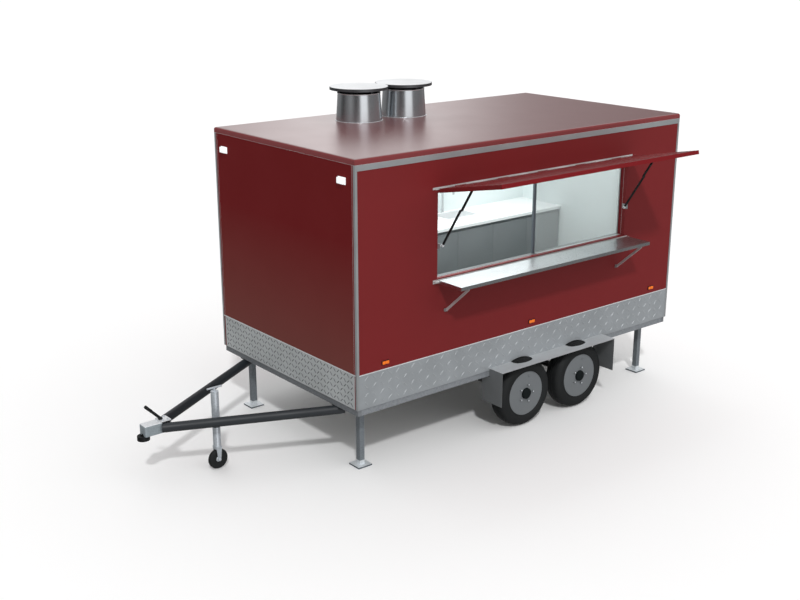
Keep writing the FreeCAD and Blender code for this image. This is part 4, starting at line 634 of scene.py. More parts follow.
dress(wheel_paint, *[f"wheel_{name}" for name in WHEEL_NAMES])

# %% [markdown]
# ### Glass and lenses
# The one fixed pane is clear sheet with a faint green edge. The lamp lenses are moulded
# plastic, given a bright body colour and a faint glow: painted light that brightens them.

# %% Clear finishes
pane_glass = finish("pane_glass", paint, {"Colour": colour(205, 215, 214), "Tone shift": 0.0,
                                          "Roughness": 0.03,
                                          "Peel": 0.0})
pane_shader = pane_glass.node_tree.nodes["Principled BSDF"]
pane_shader.inputs["Alpha"].default_value = 0.3
pane_shader.inputs["Specular IOR Level"].default_value = 0.2
dress(pane_glass, "window_glass")


def lens(name, shade, glow):
    made = finish(name, paint, {"Colour": shade, "Tone shift": 0.1, "Roughness": 0.16, "Peel": 0.05},
                  coat=0.5)
    main = made.node_tree.nodes["Principled BSDF"]
    # the faint glow is painted light that brightens the lens
    main.inputs["Emission Color"].default_value = shade
    main.inputs["Emission Strength"].default_value = glow
    return made


amber_lens = lens("amber_lens", colour(238, 118, 24), 0.18)
clear_lens = lens("clear_lens", colour(244, 246, 248), 0.55)
red_lens = lens("red_lens", colour(150, 12, 14), 0.05)
rubber = finish("black_rubber", paint, {"Colour": colour(28, 30, 31), "Tone shift": 0.12, "Roughness": 0.6,
                                        "Peel": 0.15}, more={"Specular IOR Level": 0.3})
plain_grey = finish("gasket_grey", paint, {"Colour": colour(176, 184, 184), "Tone shift": 0.03,
                                           "Roughness": 0.6,
                                           "Peel": 0.05})
white_plastic = finish("white_plastic", paint, {"Colour": colour(226, 228, 230), "Tone shift": 0.03,
                                                "Roughness": 0.35, "Peel": 0.05})


def fit(piece, material, body, slot_name, *replaced):
    """Gives a finished piece its material and its body, and hides the CAD nodes it stands for; the slot name is
    not used.
    """
    piece.data.materials.clear()
    piece.data.materials.append(material)
    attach(piece, body)
    if replaced:
        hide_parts(*replaced)
    return piece


# %% [markdown]
# ## Tread plate
# The skirt is aluminium tread plate: low lozenges that lean left and right in turn, on a
# square grid. One lozenge is a flattened eight-sided disc, drawn up and in. The long sides
# have a coarser plate than the ends. The side marks are painted paler than their plate, a
# painted highlight, and the end marks darker, a painted shade. Lozenges that would cross a
# wheel cut-out, the door or the plate's edge are left off, as a plate cutter leaves a plain
# margin there.


# %% One lozenge
def lozenge(name, length, width, height):
    """A raised mark lying in the X-Z plane, its top towards +Y."""
    bpy.ops.object.select_all(action="DESELECT")
    bpy.ops.mesh.primitive_circle_add(vertices=10, radius=0.5, fill_type="NGON")
    piece = bpy.context.object
    piece.name = name
    edit(piece)
    bpy.ops.mesh.select_all(action="SELECT")
    bpy.ops.transform.resize(value=(length, width, 1))
    bpy.ops.mesh.extrude_region_move(TRANSFORM_OT_translate={"value": (0, 0, height)})
    bpy.ops.transform.resize(value=(0.88, 0.66, 1))
    choose(piece, "FACE", lambda face: abs(face.calc_center_median().z) < 0.00001 and len(face.verts) > 4)
    bpy.ops.mesh.delete(type="FACE")
    close_edit()
    piece.rotation_euler = TURN_TO["Y"]
    return settle(piece, smooth=20)


def clear_of_wheels(x, z, reach):
    """True where a mark doesn't cross a wheel cut-out."""
    for centre in WHEEL_CENTRES.values():
        if math.hypot(x - centre.x, z - centre.z) < 0.332 + reach:
            return False
    return True


DOOR_LOW, DOOR_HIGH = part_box("entrance_door")


def plate_marks(name, columns, rows, across_size, up_size, size, allowed, place, metal):
    """Fills a panel with lozenges, leaning by turns, and moves them onto the panel."""
    mark = lozenge(name + "_mark", size, size * 0.21, 0.0024)
    pieces = []
    base = SKIRT_LOW.z + 0.007
    for column in range(columns):
        for row in range(rows):
            along = (column - (columns - 1) / 2) * across_size
            up = base + (row + 0.5) * up_size
            if not allowed(along, up, size / 2):
                continue
            lean = math.radians(45 if (column + row) % 2 else -45)
            turn = moved(along, 0, up) @ Matrix.Rotation(lean, 4, "Y")
            pieces.append(copy_of(mark, f"{name}_{column}_{row}", place @ turn))
    bpy.data.objects.remove(mark)
    panel = gather(name, pieces)
    print(name, len(pieces), "marks")
    return fit(panel, metal, "trailer", "tread_plate")


PLATE_SINK = 0.0002
side_up = (SKIRT_HIGH.z - SKIRT_LOW.z - 0.014) / 4
end_up = (SKIRT_HIGH.z - SKIRT_LOW.z - 0.014) / 6
for side_name, side in SIDES.items():
    turn = moved(BODY_MIDDLE, side * (SIDE_FACE - PLATE_SINK), 0)
    if side < 0:
        turn = turn @ Matrix.Rotation(math.pi, 4, "Z")

    def open_plate(along, up, reach, side=side):
        x = BODY_MIDDLE + along * side
        if side < 0 and DOOR_LOW.x - 0.012 - reach < x < DOOR_HIGH.x + 0.006 + reach:
            return False
        return clear_of_wheels(x, up, reach)

    plate_marks(f"tread_{side_name}", 47, 4, 0.0815, side_up, 0.054, open_plate, turn, mark_bright)
for end_name, end in (("front", 1), ("rear", -1)):
    turn = moved(BODY_MIDDLE + end * (END_FACE - PLATE_SINK), 0,
                 0) @ Matrix.Rotation(-end * math.pi / 2, 4, "Z")
    plate_marks(f"tread_{end_name}", 42, 6, 0.0475, end_up, 0.045, lambda along, up, reach: True, turn,
                mark_painted_shade)

# %% [markdown]
# ## Tyres
# A tyre is a body of revolution with a cut tread, so its outline is spun round the axle and
# the tread's cross slots are then pressed in. Three grooves run right round; the shoulder
# ribs get short slots. The outline stays inside the CAD tyre's size.

# %% Spin one tyre
TYRE_LOW, TYRE_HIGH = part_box("tyre_front_left")
TYRE_R = (TYRE_HIGH.x - TYRE_LOW.x) / 2
TYRE_HALF = (TYRE_HIGH.y - TYRE_LOW.y) / 2
BEAD_R = 0.2085
GROOVE = 0.007
TREAD_EDGE = 0.046
groove_places = (-0.027, 0.0, 0.027)


def crown(along):
    """The tread's radius at a distance from its middle: it is a little barrelled."""
    return TYRE_R - 0.006 * (along / TREAD_EDGE) ** 2


def tread_outline():
    """Half of the way round the section: from one bead over the tread to the other."""
    side = [(BEAD_R - 0.005, 0.0655), (BEAD_R - 0.0008, 0.0735), (BEAD_R, 0.0775), (BEAD_R + 0.006, 0.0815),
            (BEAD_R + 0.011, 0.0845), (BEAD_R + 0.015, 0.0838), (BEAD_R + 0.028, 0.0895),
            (BEAD_R + 0.043, TYRE_HALF - 0.0006), (TYRE_R - 0.052, 0.0905), (TYRE_R - 0.038, 0.0855),
            (TYRE_R - 0.026, 0.0770), (TYRE_R - 0.016, 0.0670), (TYRE_R - 0.0095, 0.0560),
            (crown(TREAD_EDGE), TREAD_EDGE), (crown(0.039), 0.039)]
    tread = []
    for place in reversed(groove_places):
        tread += [(crown(place + 0.0045), place + 0.0045), (TYRE_R - GROOVE, place + 0.003),
                  (TYRE_R - GROOVE, place - 0.003), (crown(place - 0.0045), place - 0.0045)]
    other = [(radius, -along) for radius, along in reversed(side)]
    inner = [(BEAD_R, -0.060), (TYRE_R - 0.04, -0.052), (TYRE_R - 0.04, 0.052), (BEAD_R, 0.060), side[0]]
    return side + tread + other + inner


TYRE_SIDES = 216
tyre = turned("tyre_pattern", tread_outline(), "Y", (0, 0, 0), sides=TYRE_SIDES, smooth=28)
edit(tyre)


def slot_face(face):
    """Every sixth face of both shoulder ribs, staggered from side to side."""
    centre = face.calc_center_median()
    if math.hypot(centre.x, centre.z) < TYRE_R - 0.0085 or not 0.0385 < abs(centre.y) < 0.052:
        return False
    step = int((math.atan2(centre.z, centre.x) + math.pi) / math.tau * TYRE_SIDES)
    return (step + (3 if centre.y > 0 else 0)) % 6 == 0


choose(tyre, "FACE", slot_face)
bpy.ops.mesh.extrude_region_shrink_fatten(TRANSFORM_OT_shrink_fatten={"value": -0.004})
close_edit()
settle(tyre, smooth=28)
print("tyre faces:", len(tyre.data.polygons))

# %% [markdown]
# ### Wheels
# The disc is the CAD's. On it go what a fitter would see: a black hub cap with a domed edge,
# five chamfered nuts on their studs, and a valve by the rim. One of each is made on the
# first wheel and copied to the others; the far side's are turned half round.

# %% Hub cap, nuts and valve
HUB_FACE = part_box("wheel_front_left")[1].y - WHEEL_CENTRES["front_left"].y
DISC_FACE = HUB_FACE - 0.021
# the pressed face stands proud of the flat disc and hides its weld
FACE_PROUD = 0.009
DISC_FACE += FACE_PROUD
HUB_FACE += FACE_PROUD
face_outline = [(0.0495, DISC_FACE - 0.0092), (0.0495, DISC_FACE), (0.2035, DISC_FACE),
                (0.2055, DISC_FACE - 0.0002),
                (0.2072, DISC_FACE - 0.0012), (0.2082, DISC_FACE - 0.0032), (0.2082, DISC_FACE - 0.0092)]
wheel_face = turned("wheel_face_pattern", face_outline, "Y", (0, 0, 0), sides=96, smooth=50)
cap_outline = [(0.0, HUB_FACE + 0.0016), (0.030, HUB_FACE + 0.0015), (0.044, HUB_FACE + 0.0006),
               (0.0485, HUB_FACE - 0.002), (0.0506, HUB_FACE - 0.006), (0.0508, DISC_FACE + 0.003),
               (0.0525, DISC_FACE + 0.001), (0.0525, DISC_FACE - 0.001), (0.030, DISC_FACE - 0.002)]
hub_cap = turned("hub_cap_pattern", cap_outline, "Y", (0, 0, 0), sides=48)
rim_edge = turned("rim_edge_pattern", [(0.2025, DISC_FACE - 0.001), (0.203, DISC_FACE + 0.0010),
                                       (0.205, DISC_FACE + 0.0018), (0.2072, DISC_FACE + 0.0010),
                                       (0.2078, DISC_FACE - 0.001)], "Y", (0, 0, 0), sides=96)
stud_circle = 0.0825


def wheel_nut(name):
    """A six-sided nut with a chamfered crown and a washer face."""
    bpy.ops.object.select_all(action="DESELECT")
    bpy.ops.mesh.primitive_cylinder_add(vertices=6, radius=0.0092, depth=0.011)
    piece = bpy.context.object
    edit(piece)
    choose(piece, "FACE", lambda face: face.normal.z > 0.9)
    bpy.ops.mesh.inset(thickness=0.0018, depth=0.0012)
    choose(piece, "FACE", lambda face: face.normal.z < -0.9)
    bpy.ops.mesh.extrude_region_move(TRANSFORM_OT_translate={"value": (0, 0, -0.002)})
    bpy.ops.transform.resize(value=(1.18, 1.18, 1))
    choose(piece, "EDGE", lambda edge: abs((edge.verts[0].co - edge.verts[1].co).normalized().z) > 0.9)
    bpy.ops.mesh.bevel(offset=0.0008, segments=2, affect="EDGES")
    close_edit()
    piece.rotation_euler = TURN_TO["Y"]
    piece.location = (stud_circle, DISC_FACE + 0.0078, 0)
    piece.name = name
    return settle(piece)


nut = wheel_nut("nut_pattern")
nut_ring = gather("nut_ring_pattern", [copy_of(nut, f"nut_{i}", spun(-math.radians(34 + 72 * i), "Y"))
                                       for i in range(5)])
stud_end = turned("stud_end_pattern", [(0.0, 0.0172), (0.0058, 0.017), (0.0068, 0.0158), (0.0069, 0.012),
                                       (0.0, 0.0118)], "Y", (stud_circle, DISC_FACE, 0), sides=16)
end_ring = gather("stud_end_ring_pattern", [copy_of(stud_end, f"end_{i}",
                                                    spun(-math.radians(34 + 72 * i), "Y"))
                                            for i in range(5)])
valve_outline = [(0.0, 0.016), (0.0028, 0.0158), (0.0032, 0.012), (0.004, 0.011), (0.0042, 0.004),
                 (0.006, 0.002), (0.006, 0.0)]
valve = turned("valve_pattern", valve_outline, "Y", (0.165, DISC_FACE - 0.003, 0.0), sides=16)
valve.data.transform(spun(-math.radians(100), "Y"))

# %% Fit the four wheels
for name, centre in WHEEL_CENTRES.items():
    to_place = moved(*centre)
    if name.endswith("right"):
        to_place = to_place @ Matrix.Rotation(math.pi, 4, "Z")
    body = f"road_wheel_{name}"
    fit(copy_of(tyre, f"tyre_tread_{name}", to_place), rubber, body, "tyre", f"tyre_{name}")
    fit(copy_of(wheel_face, f"wheel_face_{name}", to_place), wheel_paint, body, "wheel_grey")
    fit(copy_of(hub_cap, f"hub_cap_{name}", to_place), cap_paint, body, "black_iron")
    fit(copy_of(rim_edge, f"rim_edge_{name}", to_place), nut_metal, body, "wheel_grey")
    fit(copy_of(nut_ring, f"wheel_nuts_{name}", to_place), nut_metal, body, "zinc")
    fit(copy_of(end_ring, f"stud_ends_{name}", to_place), pale_zinc, body, "zinc")
    fit(copy_of(valve, f"valve_{name}", to_place), nut_metal, body, "zinc")
for pattern in (tyre, wheel_face, hub_cap, rim_edge, nut, nut_ring, stud_end, end_ring, valve):
    bpy.data.objects.remove(pattern)

# %% [markdown]
# ## Jockey wheel
# The small wheel at the front is a solid rubber tyre on a pale hub. Both are spun, and
# between them they stand for the one CAD wheel.

# %% Jockey tyre and hub
jockey = middle_of("jockey_wheel")
jockey_low, jockey_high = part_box("jockey_wheel")
small_r = (jockey_high.z - jockey_low.z) / 2
small_half = (jockey_high.y - jockey_low.y) / 2
half_section = [(0.0232, 0.0135), (0.029, 0.0195), (0.048, small_half - 0.0006), (0.0725, small_half),
                (small_r - 0.006, small_half - 0.004), (small_r - 0.0012,
                                                        small_half - 0.011), (small_r, 0.007)]
section = half_section + [(radius, -along) for radius, along in reversed(half_section)] + [half_section[0]]
jockey_tyre = turned("jockey_tyre", section, "Y", jockey, sides=64)
fit(jockey_tyre, rubber, "jockey_roller", "jockey_rubber", "jockey_wheel")
hub_half = [(0.0084, small_half), (0.0135, small_half), (0.015, small_half - 0.0015), (0.0155, 0.016),
            (0.019, 0.0125), (0.0225, 0.0135), (0.0238, 0.0155)]
hub_section = hub_half + [(radius, -along) for radius, along in reversed(hub_half)] + [hub_half[0]]
jockey_hub = turned("jockey_hub", hub_section, "Y", jockey, sides=48)
fit(jockey_hub, pale_zinc, "jockey_roller", "zinc")
pin_head = turned("jockey_axle_bolt", [(0, 0.0092), (0.0105, 0.009), (0.012, 0.0072), (0.012, 0.001),
                                       (0.0, 0.0)],
                  "Y", (0, 0, 0), sides=6, smooth=20)
fork_low, fork_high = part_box("jockey_fork")
bolt_ends = [copy_of(pin_head, "bolt_near", moved(jockey.x, fork_high.y - 0.001, jockey.z)),
             copy_of(pin_head, "bolt_far", moved(jockey.x, fork_low.y + 0.001, jockey.z)
                     @ Matrix.Rotation(math.pi, 4, "Z"))]
fit(gather("jockey_axle_bolts", bolt_ends), pale_zinc, "jockey_swivel", "zinc")
bpy.data.objects.remove(pin_head)

# %% [markdown]
# ## Lamps
# The side markers have two domed lobes on a dark base. The front markers are plain clear
# lenses and the tail lamps have three chambers. Each takes the place of a CAD block, and
# stays inside it.


# %% Lens shapes
def domed_lens(name, low, high, out, lobes, round_by):
    """A base plate with one or more domed lobes along its longer side, facing one way out."""
    low, high = Vector(low), Vector(high)
    axis = 0 if out.startswith("X") else 1
    sign = -1 if out.endswith("-") else 1
    other = 1 - axis
    depth = high[axis] - low[axis]
    base_low, base_high = low.copy(), high.copy()
    if sign > 0:
        base_high[axis] = low[axis] + depth * 0.35
    else:
        base_low[axis] = high[axis] - depth * 0.35
    base = bevelled(name + "_base", base_low, base_high, 0.0018, 2)
    lobe_pieces = []
    run = (high[other] - low[other] - 0.008) / lobes
    for index in range(lobes):
        lobe_low, lobe_high = low.copy(), high.copy()
        lobe_low[other] = low[other] + 0.004 + index * run + 0.0006
        lobe_high[other] = lobe_low[other] + run - 0.0012
        lobe_low.z += 0.004
        lobe_high.z -= 0.004
        if sign > 0:
            lobe_low[axis] = low[axis] + depth * 0.3
        else:
            lobe_high[axis] = high[axis] - depth * 0.3
        lobe_pieces.append(bevelled(f"{name}_lobe_{index}", lobe_low, lobe_high, round_by, 5))
    return base, lobe_pieces


def solids_of(node):
    """Boxes of the separate solids of a CAD node, found from its loose parts."""
    probe = nodes[node].copy()
    probe.data = nodes[node].data.copy()
    bpy.context.scene.collection.objects.link(probe)
    mesh = bmesh.new()
    mesh.from_mesh(probe.data)
    bmesh.ops.remove_doubles(mesh, verts=mesh.verts, dist=0.0001)
    left = set(mesh.verts)
    found = []
    while left:
        island = [left.pop()]
        for vert in island:
            for edge in vert.link_edges:
                other = edge.other_vert(vert)
                if other in left:
                    left.discard(other)
                    island.append(other)
        xs, ys, zs = zip(*[vert.co for vert in island])
        found.append((Vector((min(xs), min(ys), min(zs))), Vector((max(xs), max(ys), max(zs)))))
    mesh.free()
    bpy.data.objects.remove(probe)
    return sorted(found, key=lambda pair: tuple(round(v, 4) for v in pair[0]))


# %% Side, front and tail lamps
def lamp_set(name, node, lobes, round_by, glass, slot_name, base_finish, base_slot):
    bases = []
    lobe_pieces = []
    for index, (low, high) in enumerate(solids_of(node)):
        if node == "side_lamps":
            out = "Y" if low.y > 0 else "Y-"
        else:
            out = "X" if low.x > BODY_MIDDLE else "X-"
        base, lobes_made = domed_lens(f"{name}_{index}", low, high, out, lobes, round_by)
        bases.append(base)
        lobe_pieces += lobes_made
    fit(gather(name + "_bases", bases), base_finish, "trailer", base_slot)
    return fit(gather(name + "_lenses", lobe_pieces), glass, "trailer", slot_name, node)


lamp_set("side_markers", "side_lamps", 2, 0.0065, amber_lens, "amber", rubber, "black_iron")
lamp_set("front_markers", "front_lamps", 1, 0.0055, clear_lens, "clear_lens", clear_lens, "clear_lens")
lamp_set("tail_lamps_rear", "tail_lamps", 3, 0.009, red_lens, "red_lens", rubber, "black_iron")

# %% [markdown]
# ## Rivets and screws
# The corner angles and cant rails are held on by dome-head rivets at an even pitch. One
# rivet is a low spun dome; the rest are copies turned to face out of their panel.

# %% Trim rivets
rivet = turned("rivet_pattern", [(0.0, 0.0019), (0.0014, 0.0017), (0.0026, 0.0011), (0.0034, 0.0),
                                 (0.0034, -0.0006)],
               "Z", (0, 0, 0), sides=10, smooth=60)
FACES_OUT = {"X": Matrix.Rotation(math.pi / 2, 4, "Y"), "X-": Matrix.Rotation(-math.pi / 2, 4, "Y"),
             "Y": Matrix.Rotation(-math.pi / 2, 4, "X"), "Y-": Matrix.Rotation(math.pi / 2, 4, "X"),
             "Z": Matrix.Identity(4)}


def rivet_row(prefix, points, out):
    return [copy_of(rivet, f"{prefix}_{index}", moved(*point) @ FACES_OUT[out]) for index,
            point in enumerate(points)]


rivets = []
TRIM_HALF_Y = BODY_HIGH.y
TRIM_HALF_X = (BODY_HIGH.x - BODY_LOW.x) / 2
heights = [SKIRT_LOW.z + 0.05 + index * 0.149 for index in range(14)]
for end in (1, -1):
    for side in (1, -1):
        edge_x = BODY_MIDDLE + end * (TRIM_HALF_X - 0.0115)
        edge_y = side * (TRIM_HALF_Y - 0.0115)
        rivets += rivet_row("corner_side", [(edge_x, side * TRIM_HALF_Y, z) for z in heights],
                            "Y" if side > 0 else "Y-")
        rivets += rivet_row("corner_end", [(BODY_MIDDLE + end * TRIM_HALF_X, edge_y, z) for z in heights],
                            "X" if end > 0 else "X-")
for side in (1, -1):
    row = [(BODY_MIDDLE + (index - 12.5) * 0.151, side * TRIM_HALF_Y,
            BODY_LOW.z - 0.0235) for index in range(26)]
    rivets += rivet_row("cant", row, "Y" if side > 0 else "Y-")
fit(gather("trim_rivets", rivets), trim_metal, "trailer", "trim")
print("rivets:", len(rivets))

# %% [markdown]
# ## Bolts
# Heavier joints use hexagon bolts; here they hold the coupler's tie plate. A bolt head is a
# six-sided cylinder with a chamfered crown and a washer.


# %% Bolt heads
def bolt_head(name, size):
    bpy.ops.object.select_all(action="DESELECT")
    bpy.ops.mesh.primitive_cylinder_add(vertices=6, radius=size, depth=size * 0.75,
                                        location=(0, 0, size * 0.575))
    piece = bpy.context.object
    piece.name = name
    edit(piece)
    choose(piece, "FACE", lambda face: face.normal.z > 0.9)
    bpy.ops.mesh.inset(thickness=size * 0.16, depth=size * 0.1)
    close_edit()
    settle(piece, smooth=20)
    washer = turned(name + "_washer", [(0, 0), (size * 1.3, 0), (size * 1.3, size * 0.16),
                                       (size * 1.2, size * 0.2),
                                       (0, size * 0.2)], "Z", (0, 0, 0), sides=20)
    return gather(name, [piece, washer])


small_bolt = bolt_head("bolt_pattern", 0.0095)
TIE_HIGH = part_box("coupler_housing")[1]
bolt_points = [((x, y, TIE_HIGH.z), "Z") for x in (-0.165, -0.210) for y in (-0.036, 0.036)]
bolts = [copy_of(small_bolt, f"bolt_{index}", moved(*point) @ FACES_OUT[out])
         for index, (point, out) in enumerate(bolt_points)]
fit(gather("coupler_bolts", bolts), pale_zinc, "trailer", "zinc")
bpy.data.objects.remove(small_bolt)
bpy.data.objects.remove(rivet)

# %% [markdown]
# ## Stay eyes
# Each stay's lower end is a white moulded eye on the steel bar. It turns with the bar about the
# jamb's pin, so a short drum with rounded edges, spun on that pin's own line, can't foul it.

# %% Stay eyes
stay_low, stay_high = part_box("stay_lowers")
STAY_THICK = 0.013
pivot_y = stay_low.y + 0.008
pivot_z = stay_low.z + 0.008
eye_half = STAY_THICK / 2 + 0.0015
eye_outline = [(0.0046, -eye_half), (0.0105, -eye_half), (0.0135, -eye_half + 0.002),
               (0.0145, -eye_half + 0.005),
               (0.0145, eye_half - 0.005), (0.0135, eye_half - 0.002), (0.0105, eye_half), (0.0046, eye_half)]
eye_x = (stay_high.x - STAY_THICK / 2, stay_low.x + STAY_THICK / 2)
eyes = [turned(f"stay_eye_{index}", eye_outline, "X", (x, pivot_y, pivot_z), sides=32)
        for index, x in enumerate(eye_x)]
fit(gather("stay_eyes", eyes), white_plastic, "stay_lowers", "trim")

# %% [markdown]
# ## Window gasket
# The pane sits in a rubber channel. It is thin, so it is a rounded bar bent into a frame.


# %% Rubber frames
def bar_frame(name, x_span, z_span, y_span, wide):
    """Four rounded bars round a rectangle in the X-Z plane."""
    (x0, x1), (z0, z1) = x_span, z_span
    bars = [bevelled(name + "_low", (x0, y_span[0], z0), (x1, y_span[1], z0 + wide), 0.001, 2),
            bevelled(name + "_high", (x0, y_span[0], z1 - wide), (x1, y_span[1], z1), 0.001, 2),
            bevelled(name + "_back", (x0, y_span[0], z0 + wide * 0.5),
                     (x0 + wide, y_span[1], z1 - wide * 0.5), 0.001, 2),
            bevelled(name + "_front", (x1 - wide, y_span[0], z0 + wide * 0.5),
                     (x1, y_span[1], z1 - wide * 0.5), 0.001, 2)]
    return gather(name, bars)


FRAME_BAR = 0.032
glass_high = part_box("window_glass")[1]
pane_x = (FRAME_LOW.x + FRAME_BAR, glass_high.x)
pane_z = (FRAME_LOW.z + FRAME_BAR, FRAME_HIGH.z - FRAME_BAR)
gasket = bar_frame("pane_gasket", pane_x, pane_z, (glass_high.y + 0.0003, glass_high.y + 0.0065), 0.006)
fit(gasket, plain_grey, "trailer", "frame_grey")

# %% [markdown]
# ## Vents
# Spun metal stacks have a rolled bead at the rim and a flange riveted to the roof. Beads and
# flanges are rings spun from small outlines round each stack. Beads, flanges and cap crowns
# are near white, which on the beads and crowns is a painted highlight; the cap rims are dark,
# a painted shade.

# %% Stack beads, flanges and cap rims
stack_low, stack_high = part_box("vent_stacks")
cap_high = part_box("vent_caps")[1]
BASE_R = 0.215
TOP_R = 0.198
CAP_R = (cap_high.x - stack_high.x) + BASE_R
stack_y = (stack_low.y + stack_high.y) / 2
rings = []
cap_rims = []
for index, stack_x in enumerate((stack_high.x - BASE_R, stack_low.x + BASE_R)):
    centre = (stack_x, stack_y, 0)
    z0, z1 = stack_low.z, stack_high.z
    flange = [(BASE_R - 0.001, z0 + 0.0004), (BASE_R + 0.008, z0 + 0.0004), (BASE_R + 0.009, z0 + 0.0016),
              (BASE_R - 0.0008, z0 + 0.004), (BASE_R - 0.001, z0 + 0.0004)]
    rings.append(turned(f"flange_{index}", flange, "Z", centre, sides=72))
    bead = [(TOP_R + 0.0045 * math.cos(math.radians(a)) - 0.0006,
             z1 - 0.0045 + 0.0045 * math.sin(math.radians(a)))
            for a in range(0, 361, 45)]
    rings.append(turned(f"bead_{index}", bead, "Z", centre, sides=72, smooth=60))
    top = cap_high.z
    crown = [(0.0, top + 0.0012), (0.09, top + 0.0011), (0.18, top + 0.0009), (0.24, top + 0.0006),
             (CAP_R - 0.002, top + 0.0004), (CAP_R - 0.0006, top - 0.001), (CAP_R - 0.0006, top - 0.004)]
    cap_rims.append(turned(f"crown_{index}", crown, "Z", centre, sides=96, smooth=40))
fit(gather("stack_rings", rings), cap_white_highlight, "trailer", "flue")
fit(gather("cap_crowns", cap_rims), cap_white_highlight, "trailer", "flue")

# %% [markdown]
# ## Mixer tap
# The CAD tap is three straight runs. The real one bends smoothly, so it is drawn as a curve
# with a round section and given a base, a lever and an aerator.

# %% Tap
tap_low, tap_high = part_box("tap")
tap_x = (tap_low.x + tap_high.x) / 2
tap_y = tap_low.y + 0.022
tap_radius = 0.0105
rise = tap_high.z - tap_radius
spout_y = tap_high.y - tap_radius
route = [(tap_x, tap_y, tap_low.z + 0.01), (tap_x, tap_y, rise - 0.09), (tap_x, tap_y, rise),
         (tap_x, (tap_y + spout_y) / 2, rise + 0.003), (tap_x, spout_y, rise), (tap_x, spout_y, rise - 0.058)]
line = bpy.data.curves.new("tap_route", "CURVE")
line.dimensions = "3D"
line.bevel_depth = tap_radius
line.bevel_resolution = 6
line.resolution_u = 10
line.use_fill_caps = True
spline = line.splines.new("NURBS")
spline.points.add(len(route) - 1)
for point, place in zip(spline.points, route):
    point.co = (*place, 1.0)
spline.order_u = 3
spline.use_endpoint_u = True
tube = bpy.data.objects.new("tap_tube", line)
bpy.context.scene.collection.objects.link(tube)
only(tube)
bpy.ops.object.convert(target="MESH")
tube = bpy.context.object
base = turned("tap_base", [(0.0, 0.0005), (0.022, 0.0005), (0.0222, 0.004), (0.019, 0.0095), (0.0135, 0.014),
                           (0.0125, 0.055), (0.0105, 0.058), (0.0, 0.058)],
              "Z", (tap_x, tap_y, tap_low.z), sides=36)
lever = bevelled("tap_lever", (tap_x + 0.010, tap_y - 0.005, tap_low.z + 0.034),
                 (tap_x + 0.021, tap_y + 0.005, tap_low.z + 0.044), 0.003, 3)
tip = turned("tap_tip", [(0.0, -0.072), (0.0095, -0.072), (0.0119, -0.070), (0.0119, -0.054), (0.0, -0.053)],
             "Z", (tap_x, spout_y, rise), sides=24)
tap = gather("mixer_tap", [settle(tube, smooth=50), base, lever, tip])
fit(tap, stainless, "trailer", "stainless", "tap")

# %% [markdown]
# ## Cabinet fronts
# Under the worktop are plain doors with narrow shadow gaps, a few millimetres proud of the
# carcass. Each door is a rounded board.

# %% Cabinet doors
cabinet_low, cabinet_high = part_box("cabinet")
door_count = 5
run = (cabinet_high.x - cabinet_low.x - 0.02) / door_count
fronts = []
for index in range(door_count):
    x0 = cabinet_low.x + 0.01 + index * run + 0.0008
    fronts.append(bevelled(f"front_{index}", (x0, cabinet_high.y - 0.001, cabinet_low.z + 0.09),
                           (x0 + run - 0.0016, cabinet_high.y + 0.016, cabinet_high.z - 0.03), 0.0012, 2))
fit(gather("cabinet_fronts", fronts), cabinet_finish, "trailer", "frame_grey")

# %% [markdown]
# ## Coupler details
# The hand lever has a rubber grip.

# %% Lever grip
lever_low, lever_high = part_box("coupler_lever")
tip_point = Vector((lever_high.x - 0.009, 0, lever_high.z - 0.0078))
foot_point = Vector((lever_low.x + 0.014, 0, lever_low.z + 0.010))
along = (tip_point - foot_point).normalized()
grip_outline = [(0.0, 0.0025), (0.011, 0.0025), (0.0134, 0.0), (0.0140, -0.02), (0.0134, -0.04),
                (0.0140, -0.06),
                (0.0134, -0.075), (0.0121, -0.078)]
grip = turned("lever_grip", grip_outline, "Z", (0, 0, 0), sides=24, smooth=50)
grip.data.transform(along.to_track_quat("Z", "Y").to_matrix().to_4x4())
grip.data.transform(moved(*tip_point))
fit(grip, iron, "trailer", "black_iron")

# %% [markdown]
# ## Studio
# A pale floor that reads as white, one soft key lamp high on the serving side, and an even
# sky. Polished metal needs something to mirror, so glossy rays see a ring of soft panels
# instead: bright to the serving side and behind, dark between.

# %% Floor
bpy.ops.object.select_all(action="DESELECT")
bpy.ops.mesh.primitive_plane_add(size=240, location=(BODY_MIDDLE, 0, GROUND))
floor = bpy.context.object
floor.name = "studio_floor"
floor_paint = bpy.data.materials.new("studio_floor")
floor_paint.use_nodes = True
floor_shader = floor_paint.node_tree.nodes["Principled BSDF"]
floor_shader.inputs["Roughness"].default_value = 1.0
floor_shader.inputs["Specular IOR Level"].default_value = 0.0
# the floor is white to the camera and greyer to what it lights, so that undersides stay dark
floor_ray = floor_paint.node_tree.nodes.new("ShaderNodeLightPath")
floor_tone = floor_paint.node_tree.nodes.new("ShaderNodeMapRange")
floor_tone.inputs["To Min"].default_value = 0.62
floor_tone.inputs["To Max"].default_value = 0.98
floor_paint.node_tree.links.new(floor_ray.outputs["Is Camera Ray"], floor_tone.inputs["Value"])
floor_paint.node_tree.links.new(floor_tone.outputs["Result"], floor_shader.inputs["Base Color"])
floor.data.materials.append(floor_paint)
floor.visible_glossy = False

# %% Sky and panels
SKY_LEVEL = 1.28
world = bpy.data.worlds.new("studio_sky")
bpy.context.scene.world = world
world.use_nodes = True
sky = world.node_tree
sky.nodes.clear()


def sky_node(kind, **settings):
    made = sky.nodes.new(f"ShaderNode{kind}")
    for setting, value in settings.items():
        setattr(made, setting, value)
    return made


